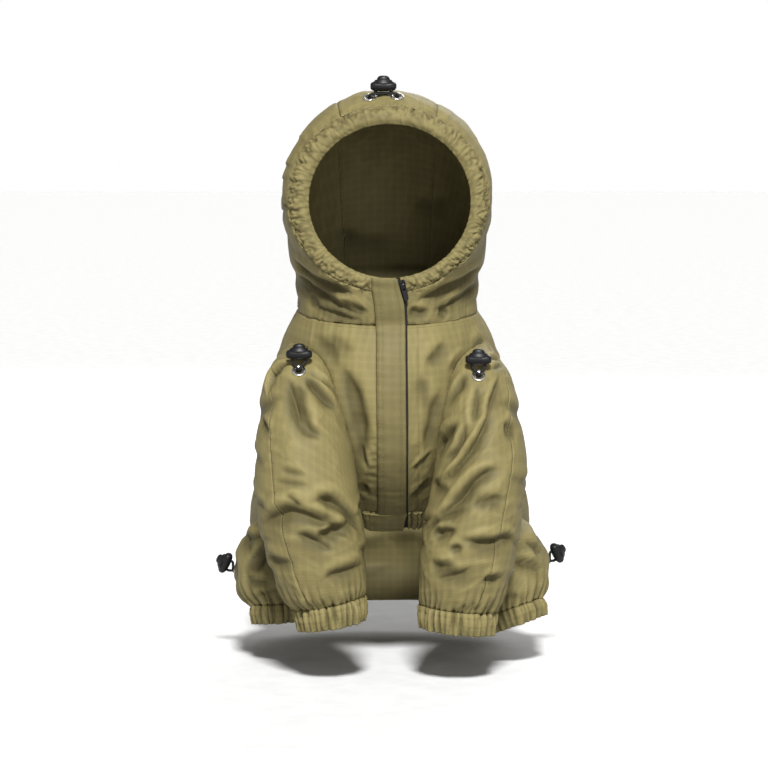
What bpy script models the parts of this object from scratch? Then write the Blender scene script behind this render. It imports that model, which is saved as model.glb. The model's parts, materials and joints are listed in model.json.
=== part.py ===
"""Hooded four-leg jumpsuit for a small pet, worn sitting up, as a hollow cloth shell.

Metres, +Z up, front towards -Y. The wearer's left is +X. The origin is the middle of the neck seam.
Every tube of cloth (hood, torso, sleeves, hind legs) is a loft through a short table of rings. A ring
is given by its front point, its back point and its half width, and each panel is a patch of a tube:
a range of turns (0 front, 0.25 at +X or the outer side, 0.5 back) by a range of levels (table rows).
Dimensions are in millimetres and heights are above the ground line until they become points.
"""

import math

import bmesh
import bpy
import numpy as np
from mathutils import Matrix, Vector
from mathutils.bvhtree import BVHTree

MM = 0.001
FAR = 400.0  # outside the whole jumpsuit, where rays start

# Driving dimensions
NECK_HEIGHT = 258.0  # neck seam's middle above the ground line
WALL = 1.5  # cloth, both layers
SEAM_GAP = 0.3
ZIP_WIDTH = 2.6  # chain between the two folded edges
ZIP_THICKNESS = 1.1
ZIP_OFFSET = 0.6  # chain's middle beyond the storm flap's free edge
BAND_LEVEL, HEM_LEVEL, SEAT_LEVEL = 6.0, 7.0, 10.0  # torso rows: belly band's top, hem, seat
# The side seam, and below the hem the flank's free edge: turns at torso levels
SIDE_SEAM_LEVELS = (0.0, 2.0, 4.0, 5.5, 7.0, 8.5, 10.0)
SIDE_SEAM_TURNS = (0.25, 0.24, 0.19, 0.15, 0.125, 0.11, 0.15)
# Half gaps at seams: flat ones, and those where two walls meet at an angle
HALF_GAP = SEAM_GAP / 2
NECK_HALF_GAP, CUFF_HALF_GAP, CASING_HALF_GAP = 0.75, 0.8, 0.6
ARMHOLE_GAP = 0.45
CROWN_TURNS = (0.42, 0.58)  # the hood's middle panel
INNER_SEAM_TURN = 0.58  # the sleeves' seam at the inner back

TORSO_COLUMNS = (
    "front_y", "front_z", "back_y", "back_z", "half_width", "narrowing", "middle_x",
)
TORSO_ROWS = (
    (-58, 250, 58, 266, 64.5, 0.02, -1.9),  # neck seam
    (-66, 232, 78, 250, 73.8, 0.08, -1.3),
    (-71, 212, 98, 229, 81.5, 0.15, -0.9),
    (-72, 186, 118, 202, 90, 0.22, -0.6),
    (-66, 160, 137, 172, 96.5, 0.30, -0.3),
    (-51, 136, 153, 142, 99.5, 0.38, 0),
    (-31, 115, 164, 116, 103.5, 0.40, 0),  # belly band
    (-17, 102, 169, 99, 105.5, 0.40, 0),  # hem
    (22, 78, 176, 72, 106, 0.36, 0),
    (44, 54, 179, 46, 102, 0.30, 0),
    (58, 33, 165, 22, 88, 0.22, 0),  # seat
)
HOOD_COLUMNS = ("front_y", "front_z", "back_y", "back_z", "half_width", "middle_x")
HOOD_ROWS = (
    (-58, 250, 58, 266, 64.5, -1.9),  # neck seam
    (-60, 256, 68, 290, 65.5, -2.1),
    (-61, 261, 73, 320, 67.8, -2.2),
    (-61.5, 265, 69, 352, 71.2, -2.2),
    (-61.5, 268, 53, 384, 73.8, -2.2),
    (-61.3, 270, 26, 406, 74.2, -2.1),
    (-61, 271.5, -8, 415, 73.8, -1.9),
    (-60.7, 272.5, -34, 411, 72.4, -1.5),
    (-60.5, 273.5, -50, 403, 69.5, -1.1),  # outer edge of the casing
)
CASING_COLUMNS = HOOD_COLUMNS
CASING_ROWS = (
    (-60.5, 273.5, -50, 403, 69.5, -1.1),
    (-62.2, 276, -56.5, 400, 66, -0.8),
    (-62.8, 280.5, -59.5, 395, 61, -0.5),
    (-61.3, 283.5, -58, 390.5, 56.4, -0.2),  # face opening
)
LIMB_COLUMNS = (
    "middle_x", "front_y", "front_z", "back_y", "back_z", "half_width", "roll",
)
SLEEVE_RIGHT_ROWS = (
    (54, -26, 238, 14, 214, 22.5, 0),
    (60, -58, 222, 8, 194, 29, 0),
    (61, -80, 194, -4, 170, 32, 0),
    (60, -93, 163, -17, 149, 34.8, 0),
    (58, -100, 134, -26, 128, 36, 0),
    (54.5, -102, 108, -30, 106, 36, 0),
    (50.5, -100, 84, -32, 83, 33.5, 4),
    (46.5, -95, 65, -36, 64, 29.5, 8),
    (42.8, -88, 56, -41, 56, 24.0, 11),  # cuff's top
)
SLEEVE_LEFT_ROWS = (
    (54, -26, 236, 14, 212, 22.5, 0),
    (60.5, -58, 220, 8, 192, 27, 0),
    (63, -80, 192, -4, 168, 29.5, 0),
    (64, -93, 161, -17, 147, 32, 0),
    (60.5, -100, 132, -26, 126, 33, 0),
    (57, -102, 107, -30, 105, 34, 0),
    (53.5, -100, 82, -32, 81, 33, 0),
    (50.5, -95, 63, -36, 62, 29.5, 3),
    (47.6, -88, 52, -41, 52, 25.4, 5.5),
)
SLEEVE_CUFF_RIGHT_ROWS = (
    (42.8, -88, 56, -41, 56, 24.0, 11),
    (41.6, -89, 48, -42, 48, 23.6, 10),
    (40.8, -87, 40, -42, 40, 22.4, 9),
)
SLEEVE_CUFF_LEFT_ROWS = (
    (47.6, -88, 52, -41, 52, 25.4, 5.5),
    (47.4, -89, 44, -42, 44, 25.6, 5.5),
    (47.2, -87, 36, -42, 36, 24.8, 5.5),
)
HIND_RIGHT_ROWS = (
    (62, 104, 96, 108, 46, 22, 0),
    (71, 76, 104, 90, 38, 28.5, 0),
    (78, 48, 106, 73, 35, 33, 0),
    (80.5, 20, 101, 60, 34, 33.8, 0),
    (80.5, -2, 83, 50, 36, 32.6, 0),
    (79.5, -12, 61, 43, 39.5, 31, 3),
    (77, -10, 46, 34, 40, 23.5, 4),
)
HIND_LEFT_ROWS = (
    (62, 104, 96, 108, 46, 22, 0),
    (71, 76, 104, 90, 38, 28.5, 0),
    (79, 48, 106, 73, 35, 33.5, 0),
    (83, 20, 101, 60, 34, 34.5, 0),
    (84, -3, 82, 50, 35, 33, -4),
    (86.5, -13, 61, 42, 37, 29.5, -12),
    (88, -12, 43, 34, 37, 23.5, -19),
)
HIND_CUFF_RIGHT_ROWS = (
    (77, -10, 46, 34, 40, 23.5, 4),
    (76.6, -11, 39, 33.5, 34, 23.4, 4),
    (76.4, -10, 32, 32, 28, 22.4, 4),
)
HIND_CUFF_LEFT_ROWS = (
    (88, -12, 43, 34, 37, 23.5, -19),
    (90, -13, 37, 33.5, 31, 23.6, -19),
    (91.5, -12, 30.5, 32, 25, 22.6, -19),
)
# The storm flap's two long edges, down from the face opening
FLAP_COLUMNS = ("height", "sewn_x", "free_x")
FLAP_ROWS = (
    (283, -13.3, 4.9),
    (275, -12.6, 7.2),
    (264, -11.0, 9.8),
    (250, -9.8, 10.4),
    (170, -9.0, 11.0),
    (115, -8.6, 11.2),
)
TAB_ROWS = (
    (115, -15.4, 11.6),
    (102, -15.4, 9.0),
)
# Where a sleeve's outer front seam runs, in turns, down the sleeve
SLEEVE_SEAM_TURNS = (0.135, 0.06)
# Cord locks: eyelet's place, the lock's reach along the cloth and out of it, and its bar's swing.
# A shoulder eyelet is placed from the front (no y), and a hip one from its side (no x).
LOCK_COLUMNS = ("side", "eyelet_x", "eyelet_y", "eyelet_z", "reach_up", "reach_out", "swing")
LOCKS = {
    "shoulder_right": (-1, -63.7, None, 218.0, 12.2, -1.0, 2.0),
    "shoulder_left": (1, 61.9, None, 214.6, 12.0, -1.0, -6.0),
    "hip_right": (-1, None, 52.0, 61.0, 6.5, 9.0, 62.0),
    "hip_left": (1, None, 52.0, 68.0, 6.5, 9.0, 118.0),
}
CROWN_LOCK = {"x": -4.6, "eyelet_xs": (-14.3, 4.9), "eyelet_y": -39.0, "lift": 8.4, "ahead": 1.0}
LOCK_LENGTH, LOCK_HEIGHT, LOCK_DEPTH = 18.4, 7.4, 8.6
PLUNGER_LENGTH, PLUNGER_DEPTH, PLUNGER_SHOWS, PLUNGER_SUNK = 9.8, 5.2, 4.0, 0.9
PLUNGER_TRAVEL = 2.4
PLUNGER_DOME = 0.62  # height of its dome as a share of its radius
POCKET_CLEARANCE = 0.45
BAR_FULLNESS = 0.62  # below 1 fills out the bar's ends
BAR_END_EASING = 0.85
CLEARANCE = 0.3
EYELET_SEAT = 0.65  # clears the cloth that rounds away under the ring
CORD_DIAMETER = 2.0
SOCKET_X = 4.7  # each cord leg's place under the lock, from its middle
SOCKET_DEPTH, SOCKET_RADIUS = 1.2, 1.6
# A cord leg leaves the lock straight, turns over its eyelet, and the two join just above the cloth
LEG_STRAIGHT, LEG_IN = 2.2, 0.93
TURN_X, TURN_OUT, TURN_UP, LOOP_OUT = 1.0, 3.0, 0.5, 1.6
CROWN_LEG_STRAIGHT, CROWN_LEG_SPREAD = 1.8, 0.3
CUTTER_RUN = 3.0  # how far a cutter runs past the face it cuts
EYELET_OUTER, EYELET_INNER, EYELET_HEIGHT = 4.9, 3.0, 1.1
FLAP_LIFT = 2.0  # its middle above the middle of the cloth under it
FLAP_RUN_UP = 2.0  # how far it stands up past the casing's most forward line
# Zip slider and its hinged pull, in the slider's own frame: X across, Y out of the cloth, Z up
SLIDER_WIDTH, SLIDER_LENGTH, SLIDER_PLATE = 3.6, 8.0, 1.2
BRIDGE_WIDTH, BRIDGE_LOW, BRIDGE_TOP, BRIDGE_RISE, BRIDGE_BAR = 1.1, 1.2, 6.8, 2.8, 0.9
PULL_AXIS_Z, PULL_AXIS_OUT, PULL_BAR = 5.0, 0.95, 1.1
PULL_WIDTH, PULL_WINDOW, PULL_WINDOW_LENGTH, PULL_LENGTH, PULL_THICKNESS = 3.6, 1.9, 4.3, 12.0, 1.0
SLIDER_HEIGHT = 273.5  # its lower end above the ground line
SLIDER_SEAT = 0.66  # clears the casing that rounds away under it
BRIDGE_ROOT = 0.4  # how far the bridge's block reaches into the plate
JOIN_EASE = 0.01  # keeps two joined faces from lying in one plane
SLIDER_X_LOW, SLIDER_X_TOP = 10.2, 8.8  # it slants with the zip

COLOURS = {
    "ripstop": ((0.30, 0.265, 0.135), 0.72, 0.0),
    "elastic": ((0.28, 0.25, 0.125), 0.78, 0.0),
    "black_plastic": ((0.012, 0.012, 0.013), 0.38, 0.0),
    "black_cord": ((0.010, 0.010, 0.010), 0.85, 0.0),
    "nickel": ((0.80, 0.79, 0.77), 0.22, 1.0),
    "zip_black": ((0.012, 0.012, 0.012), 0.50, 0.0),
}


# Tubes

def blend_rows(values, level):
    """Smooth (Catmull-Rom) value between table rows; both ends run on straight."""
    ends = np.concatenate([[2 * values[0] - values[1]], values, [2 * values[-1] - values[-2]]])
    start = np.clip(np.floor(level).astype(int), 0, len(values) - 2)
    t = level - start
    before, here, there, after = (ends[start + k] for k in range(4))
    return 0.5 * (
        2 * here
        + (there - before) * t
        + (2 * before - 5 * here + 4 * there - after) * t**2
        + (3 * here - before - 3 * there + after) * t**3
    )


def column(columns, rows, name):
    if name not in columns:
        return np.zeros(len(rows))
    return np.array([row[columns.index(name)] for row in rows], float)


class Tube:
    """A loft through a table of rings that runs down the body, or up it where upward is true.

    side -1 mirrors it, so that a turn of 0.25 is always the outer side.
    """

    def __init__(self, columns, rows, side=1, upward=False):
        self.side = side
        self.outward = side if upward else -side
        self.top_level = len(rows) - 1
        for name in set(LIMB_COLUMNS) | set(TORSO_COLUMNS):
            setattr(self, name, column(columns, rows, name))

    def middle_surface(self, turn, level):
        """Points of the cloth's middle, in millimetres above the ground line."""
        turn, level = np.broadcast_arrays(np.asarray(turn, float), np.asarray(level, float))
        front_y, front_z, back_y, back_z, half, narrowing, roll, middle_x = (
            blend_rows(getattr(self, name), level)
            for name in (
                "front_y", "front_z", "back_y", "back_z",
                "half_width", "narrowing", "roll", "middle_x",
            )
        )
        along, across = np.cos(math.tau * turn), np.sin(math.tau * turn)
        k = np.maximum(narrowing, 1e-6)
        widest = (1 - np.sqrt(1 + 8 * k**2)) / (4 * k)
        reach = np.sqrt(1 - widest**2) * (1 - k * widest)
        across = half * across * (1 - k * along) / reach
        tilt = np.radians(roll)
        x = self.side * (middle_x + across * np.cos(tilt))
        y = (front_y + back_y) / 2 + (front_y - back_y) / 2 * along
        z = (front_z + back_z) / 2 + (front_z - back_z) / 2 * along - across * np.sin(tilt)
        return np.stack([x, y, z], axis=-1)

    def normals(self, turn, level):
        step = 1e-3
        low = np.clip(level - step, 0, self.top_level)
        high = np.clip(level + step, 0, self.top_level)
        around = self.middle_surface(turn + step, level) - self.middle_surface(turn - step, level)
        down = self.middle_surface(turn, high) - self.middle_surface(turn, low)
        normal = np.cross(around, down) * self.outward
        return normal / np.linalg.norm(normal, axis=-1, keepdims=True)

    def points(self, turn, level, lift=0.0):
        """Points in metres in the part's frame, lifted out of the cloth's middle by so many mm."""
        turn, level = np.broadcast_arrays(np.asarray(turn, float), np.asarray(level, float))
        spots = self.middle_surface(turn, level)
        if np.any(lift):
            spots = spots + np.asarray(lift) * self.normals(turn, level)
        return (spots - np.array([0.0, 0.0, NECK_HEIGHT])) * MM

    def turn_at_x(self, x, level):
        """The turn near the front where the tube reaches this x, by halving."""
        low, high = np.full(np.shape(level), -0.2), np.full(np.shape(level), 0.2)
        for _ in range(40):
            half = (low + high) / 2
            beyond = self.middle_surface(half, level)[..., 0] > x
            high = np.where(beyond, half, high)
            low = np.where(beyond, low, half)
        return (low + high) / 2


# Objects

def collection(name):
    made = bpy.data.collections.new(name)
    bpy.context.scene.collection.children.link(made)
    return made


def material(name):
    if name in bpy.data.materials:
        return bpy.data.materials[name]
    colour, roughness, metallic = COLOURS[name]
    made = bpy.data.materials.new(name)
    made.use_nodes = True
    shader = made.node_tree.nodes["Principled BSDF"]
    shader.inputs["Base Color"].default_value = (*colour, 1.0)
    shader.inputs["Roughness"].default_value = roughness
    shader.inputs["Metallic"].default_value = metallic
    made.diffuse_color = (*colour, 1.0)
    return made


def add_object(name, mesh, material_name, group):
    thing = bpy.data.objects.new(name, mesh)
    group.objects.link(thing)
    if material_name:
        mesh.materials.append(material(material_name))
    return thing


def grid_mesh(name, grid, closed):
    """A sheet of quads over a grid of points; closed joins the first and last columns."""
    rows, columns = grid.shape[:2]
    shape = bmesh.new()
    spots = [[shape.verts.new(point) for point in row] for row in grid]
    for r in range(rows - 1):
        for c in range(columns if closed else columns - 1):
            after = (c + 1) % columns
            shape.faces.new((spots[r][c], spots[r][after], spots[r + 1][after], spots[r + 1][c]))
    mesh = bpy.data.meshes.new(name)
    shape.to_mesh(mesh)
    shape.free()
    return mesh


def eased(grid, closed, end_gaps=(HALF_GAP, HALF_GAP)):
    """The grid with its free edges drawn in by half a seam gap, within the surface."""
    grid = grid.copy()
    for edge, inner, gap in ((0, 1, end_gaps[0]), (-1, -2, end_gaps[1])):
        step = grid[inner] - grid[edge]
        grid[edge] += gap * MM * step / np.linalg.norm(step, axis=-1, keepdims=True)
    if not closed:
        for edge, inner in ((0, 1), (-1, -2)):
            step = grid[:, inner] - grid[:, edge]
            grid[:, edge] += HALF_GAP * MM * step / np.linalg.norm(step, axis=-1, keepdims=True)
    return grid


def panel(name, tube, turns, levels, cells, end_gaps=(HALF_GAP, HALF_GAP), finish="ripstop"):
    """A cloth panel. turns are two values, or two functions of the level; a full turn closes it."""
    level = np.linspace(levels[0], levels[1], cells[1] + 1)
    first, last = (
        np.asarray(edge(level) if callable(edge) else np.full(level.shape, edge)) for edge in turns
    )
    closed = bool(np.all(np.abs(last - first - 1.0) < 1e-9))
    share = np.linspace(0, 1, cells[0] + 1)[: -1 if closed else None]
    turn = first[:, None] + (last - first)[:, None] * share
    grid = eased(tube.points(turn, level[:, None]), closed, end_gaps)
    made = add_object(name, grid_mesh(name, grid, closed), finish, PARTS)
    shell = made.modifiers.new("wall", "SOLIDIFY")
    shell.thickness = WALL * MM
    shell.offset = 0.0
    shell.use_even_offset = True
    return made


def core(name, tube, levels, cells, lift):
    """A closed cutter that fills a tube, out to this lift from its middle surface."""
    level = np.linspace(levels[0], levels[1], cells[1] + 1)
    turn = np.linspace(0, 1, cells[0] + 1)[:-1]
    grid = tube.points(turn[None, :], level[:, None], lift)
    mesh = grid_mesh(name, grid, True)
    shape = bmesh.new()
    shape.from_mesh(mesh)
    shape.verts.ensure_lookup_table()
    for row in (0, len(level) - 1):
        rim = [shape.verts[row * len(turn) + c] for c in range(len(turn))]
        shape.faces.new(rim)
    bmesh.ops.triangulate(shape, faces=[face for face in shape.faces if len(face.verts) > 4])
    bmesh.ops.recalc_face_normals(shape, faces=shape.faces)
    shape.to_mesh(mesh)
    shape.free()
    cutter = add_object(name, mesh, None, CUTTERS)
    cutter.hide_render = True
    cutter.display_type = "WIRE"
    return cutter


def cut(thing, cutter):
    boolean = thing.modifiers.new("cut by " + cutter.name, "BOOLEAN")
    boolean.operation = "DIFFERENCE"
    boolean.solver = "EXACT"
    boolean.object = cutter


# Cloth

def edge_x(rows, height, name):
    """x of a flap's edge at a height, from its table."""
    heights = column(FLAP_COLUMNS, rows, "height")[::-1]
    return np.interp(height, heights, column(FLAP_COLUMNS, rows, name)[::-1])


def zip_edge(tube, away):
    """Turns, by level, of a line this far (mm) from the middle of the zip."""

    def turn(level):
        height = tube.middle_surface(0.0, level)[..., 2]
        x = edge_x(FLAP_ROWS, height, "free_x") + ZIP_OFFSET + away
        return tube.turn_at_x(x, level)

    return turn


def build_hood(hood, casing):
    half_zip = ZIP_WIDTH / 2 + HALF_GAP
    levels, gaps = (0.0, hood.top_level), (NECK_HALF_GAP, CASING_HALF_GAP)
    right_zip, left_zip = zip_edge(hood, -half_zip), zip_edge(hood, half_zip)
    panel("hood_right", hood, (CROWN_TURNS[1] - 1, right_zip), levels, (9, 10), gaps)
    panel("hood_left", hood, (left_zip, CROWN_TURNS[0]), levels, (9, 10), gaps)
    panel("hood_center", hood, CROWN_TURNS, levels, (4, 10), gaps)
    start, end = zip_edge(casing, half_zip), zip_edge(casing, -half_zip)
    panel(
        "hood_casing", casing, (start, lambda v: end(v) + 1), (0.0, casing.top_level), (30, 3),
        (CASING_HALF_GAP, HALF_GAP),
    )


def side_seam(level):
    """The seam between front and back, on the +X side; a smooth wander from the neck to the seat."""
    share = np.interp(level, SIDE_SEAM_LEVELS, np.arange(len(SIDE_SEAM_LEVELS)))
    return blend_rows(np.array(SIDE_SEAM_TURNS), share)


def build_body(torso, sleeve_cores, hind_cores):
    half_zip = ZIP_WIDTH / 2 + HALF_GAP
    halves = {
        "right": (lambda level: -side_seam(level), zip_edge(torso, -half_zip)),
        "left": (zip_edge(torso, half_zip), side_seam),
    }
    neck_gaps = (NECK_HALF_GAP, HALF_GAP)
    across_back = (side_seam, lambda level: 1 - side_seam(level))
    back = panel("back", torso, across_back, (0.0, SEAT_LEVEL), (18, 20), neck_gaps)
    for side, turns in halves.items():
        front = panel(f"front_{side}", torso, turns, (0.0, BAND_LEVEL), (8, 12), neck_gaps)
        levels = (BAND_LEVEL, HEM_LEVEL)
        band = panel(f"belly_band_{side}", torso, turns, levels, (8, 2), finish="elastic")
        cut(front, sleeve_cores[side])
        cut(back, sleeve_cores[side])
        cut(back, hind_cores[side])
        cut(band, hind_cores[side])


def sleeve_seam(level):
    """The two-piece seam's turn: it wanders from the outer side to the front down the sleeve."""
    return np.interp(level, (1.0, 8.0), SLEEVE_SEAM_TURNS)


def build_limb(pieces, tube, torso_core, cuff_name, cuff, cells):
    """A limb's panels, cut back to the body's outer face, and the gathered cuff at its end."""
    gaps = (HALF_GAP, CUFF_HALF_GAP)
    for name, turns, across in pieces:
        made = panel(name, tube, turns, (0.0, tube.top_level), (across, cells), gaps)
        cut(made, torso_core)
    levels, gaps = (0.0, cuff.top_level), (CUFF_HALF_GAP, HALF_GAP)
    panel(cuff_name, cuff, (0.0, 1.0), levels, (18, 2), gaps, finish="elastic")


def join_levels(tube, start, end, count):
    return [(tube, level) for level in np.linspace(start, end, count)]


def flap_edges(height):
    return edge_x(FLAP_ROWS, height, "sewn_x"), edge_x(FLAP_ROWS, height, "free_x")


def tab_edges(height):
    return edge_x(TAB_ROWS, height, "sewn_x"), edge_x(TAB_ROWS, height, "free_x")


def chain_edges(height):
    middle = edge_x(FLAP_ROWS, height, "free_x") + ZIP_OFFSET
    return middle - ZIP_WIDTH / 2, middle + ZIP_WIDTH / 2


def strip(name, stations, edges, lift, wall, cells_across, finish, run_up=0.0):
    """A strip that runs down over several tubes, lifted out of them, such as the storm flap.

    edges gives its two edges' x at a height, and run_up carries it straight on above its first
    station, by so many mm.
    """
    grid = []
    for tube, level in stations:
        left, right = edges(tube.middle_surface(0.0, np.array(level))[2])
        xs = np.linspace(left, right, cells_across + 1)
        levels = np.full(xs.shape, level)
        turns = tube.turn_at_x(xs, levels)
        grid.append(tube.points(turns, levels, lift))
    if run_up:
        ahead = grid[0] - grid[1]
        ahead /= np.linalg.norm(ahead, axis=-1, keepdims=True)
        grid.insert(0, grid[0] + run_up * MM * ahead)
    grid = eased(np.array(grid), False)
    made = add_object(name, grid_mesh(name, grid, False), finish, PARTS)
    shell = made.modifiers.new("wall", "SOLIDIFY")
    shell.thickness = wall * MM
    shell.offset = 0.0
    shell.use_even_offset = True
    return made


def build_closing(torso, hood, casing):
    over = (
        join_levels(casing, 2.0, 0.8, 2)
        + join_levels(hood, 3.5, 0.5, 3)
        + join_levels(torso, 0.15, BAND_LEVEL, 11)
    )
    strip("storm_flap", over, flap_edges, FLAP_LIFT, WALL, 4, "ripstop", FLAP_RUN_UP)
    tab = join_levels(torso, BAND_LEVEL, HEM_LEVEL, 3)
    strip("belly_tab", tab, tab_edges, FLAP_LIFT, WALL, 3, "ripstop")
    down = (
        join_levels(casing, casing.top_level - 0.2, 0.3, 4)
        + join_levels(hood, hood.top_level, 0.0, 6)[1:-1]
        + join_levels(torso, 0.0, HEM_LEVEL, 12)
    )
    strip("zip_tape", down, chain_edges, 0.0, ZIP_THICKNESS, 1, "zip_black")


# Hardware

def turned(name, profile, finish, group, axis="Z", steps=14, squash=1.0):
    """A solid turned from (radius, height) points, run down its outer side, then squashed in Y."""
    mesh = bpy.data.meshes.new(name)
    shape = bmesh.new()
    spots = [shape.verts.new((radius * MM, 0.0, height * MM)) for radius, height in profile]
    for first, second in zip(spots, spots[1:]):
        shape.edges.new((first, second))
    shape.to_mesh(mesh)
    shape.free()
    source = bpy.data.objects.new(name + " profile", mesh)
    CUTTERS.objects.link(source)
    screw = source.modifiers.new("turn", "SCREW")
    screw.steps = screw.render_steps = steps
    screw.use_merge_vertices = True
    screw.merge_threshold = 0.00001
    bpy.context.view_layer.update()
    graph = bpy.context.evaluated_depsgraph_get()
    solid = bpy.data.meshes.new_from_object(source.evaluated_get(graph))
    bpy.data.objects.remove(source)
    solid.name = name
    if axis == "X":
        solid.transform(Matrix.Rotation(math.pi / 2, 4, "Y"))
    solid.transform(Matrix.Diagonal((1.0, squash, 1.0, 1.0)))
    shape = bmesh.new()
    shape.from_mesh(solid)
    bmesh.ops.remove_doubles(shape, verts=shape.verts, dist=1e-6)
    bmesh.ops.recalc_face_normals(shape, faces=shape.faces)
    shape.to_mesh(solid)
    shape.free()
    solid.shade_smooth()
    return add_object(name, solid, finish, group)


def frame_at(place, up, out):
    """A pose whose Z is up the cloth and whose -Y is out of it."""
    out = Vector(out).normalized()
    up = (Vector(up) - Vector(up).dot(out) * out).normalized()
    across = up.cross(out)
    pose = Matrix((across, -out, up)).transposed().to_4x4()
    pose.translation = Vector(place)
    return pose


def bar_profile():
    """The lock's bar: a turned bean, blunt at both ends."""
    half, radius = LOCK_LENGTH / 2, LOCK_HEIGHT / 2
    angles = np.linspace(0, math.pi, 10)
    ends = np.sign(np.cos(angles)) * np.abs(np.cos(angles)) ** BAR_END_EASING * half
    rounds = np.sin(angles) ** BAR_FULLNESS * radius
    rounds[[0, -1]] = 0.0
    return list(zip(rounds, ends))


def plunger_profile(top, bottom, radius):
    arc = [
        (radius * math.sin(a), top - radius * PLUNGER_DOME * (1 - math.cos(a)))
        for a in np.linspace(0, math.pi / 2, 5)
    ]
    return arc + [(radius, bottom), (0.0, bottom)]


def build_lock(name, pose):
    """One cord lock: a bean-shaped bar with a sprung, domed plunger in its top."""
    body = turned(f"lock_{name}_body", bar_profile(), "black_plastic", PARTS, "X", 14,
                  LOCK_DEPTH / LOCK_HEIGHT)
    body.matrix_world = pose
    top = LOCK_HEIGHT / 2
    radius = PLUNGER_LENGTH / 2
    squash = PLUNGER_DEPTH / PLUNGER_LENGTH
    low = top - PLUNGER_SUNK
    plunger = turned(
        f"lock_{name}_plunger", plunger_profile(top + PLUNGER_SHOWS, low, radius),
        "black_plastic", PARTS, "Z", 16, squash,
    )
    plunger.matrix_world = pose
    pocket_radius = radius + POCKET_CLEARANCE
    above, floor = top + CUTTER_RUN, low - PLUNGER_TRAVEL - CLEARANCE
    pocket = turned(
        f"lock {name} pocket",
        [(0.0, above), (pocket_radius, above), (pocket_radius, floor), (0.0, floor)],
        None, CUTTERS, "Z", 16, (PLUNGER_DEPTH / 2 + POCKET_CLEARANCE) / pocket_radius,
    )
    socket = [
        (0.0, SOCKET_DEPTH), (SOCKET_RADIUS, SOCKET_DEPTH),
        (SOCKET_RADIUS, -CUTTER_RUN), (0.0, -CUTTER_RUN),
    ]
    holes = [pocket]
    for side in (-1, 1):
        hole = turned(f"lock {name} socket {side}", socket, None, CUTTERS, "Z", 10)
        hole.matrix_world = pose @ Matrix.Translation(
            Vector((side * SOCKET_X, 0.0, -LOCK_HEIGHT / 2)) * MM
        )
        holes.append(hole)
    pocket.matrix_world = pose
    for hole in holes:
        hole.hide_render = True
        hole.display_type = "WIRE"
        cut(body, hole)


def build_eyelet(name, pose):
    half = (EYELET_OUTER - EYELET_INNER) / 2
    middle = (EYELET_OUTER + EYELET_INNER) / 2
    ring = [
        (middle + half * math.cos(a), EYELET_HEIGHT / 2 * (1 + math.sin(a)))
        for a in np.linspace(math.pi / 2, -3 * math.pi / 2, 7)
    ]
    made = turned(f"eyelet_{name}", ring, "nickel", PARTS, "Z", 14)
    # The ring lies on the cloth: its own axis is the pose's way out
    made.matrix_world = pose @ Matrix.Rotation(math.pi / 2, 4, "X")


def build_cord(name, route):
    """A short piece of elastic cord along a smooth route of points in metres."""
    curve = bpy.data.curves.new(name, "CURVE")
    curve.dimensions = "3D"
    curve.bevel_depth = CORD_DIAMETER / 2 * MM
    curve.bevel_resolution = 2
    curve.use_fill_caps = True
    smooth = []
    route = np.array(route)
    for level in np.linspace(0, len(route) - 1, 2 * (len(route) - 1) + 1):
        smooth.append([float(blend_rows(route[:, k], np.array(level))) for k in range(3)])
    line = curve.splines.new("POLY")
    line.points.add(len(smooth) - 1)
    for spot, place in zip(line.points, smooth):
        spot.co = (*place, 1.0)
    made = bpy.data.objects.new(name, curve)
    PARTS.objects.link(made)
    curve.materials.append(material("black_cord"))
    return made


def cloth_tree():
    """What rays are cast on, to seat hardware on the cloth's outer face."""
    bpy.context.view_layer.update()
    graph = bpy.context.evaluated_depsgraph_get()
    vertices, faces = [], []
    for thing in PARTS.objects:
        mesh = thing.evaluated_get(graph).to_mesh()
        base = len(vertices)
        vertices += [thing.matrix_world @ vertex.co for vertex in mesh.vertices]
        faces += [[base + index for index in face.vertices] for face in mesh.polygons]
    return BVHTree.FromPolygons(vertices, faces)


def seat_on_cloth(tree, x, y, z):
    """The cloth's outer face met from the front (y None) or from the side (x None)."""
    height = (z - NECK_HEIGHT) * MM
    if y is None:
        start, way = Vector((x * MM, -FAR * MM, height)), Vector((0, 1, 0))
    else:
        start, way = Vector((x * MM, y * MM, height)), Vector((-math.copysign(1, x), 0, 0))
    place, normal, _, _ = tree.ray_cast(start, way)
    if normal.dot(way) > 0:
        normal = -normal
    return place, normal


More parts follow.
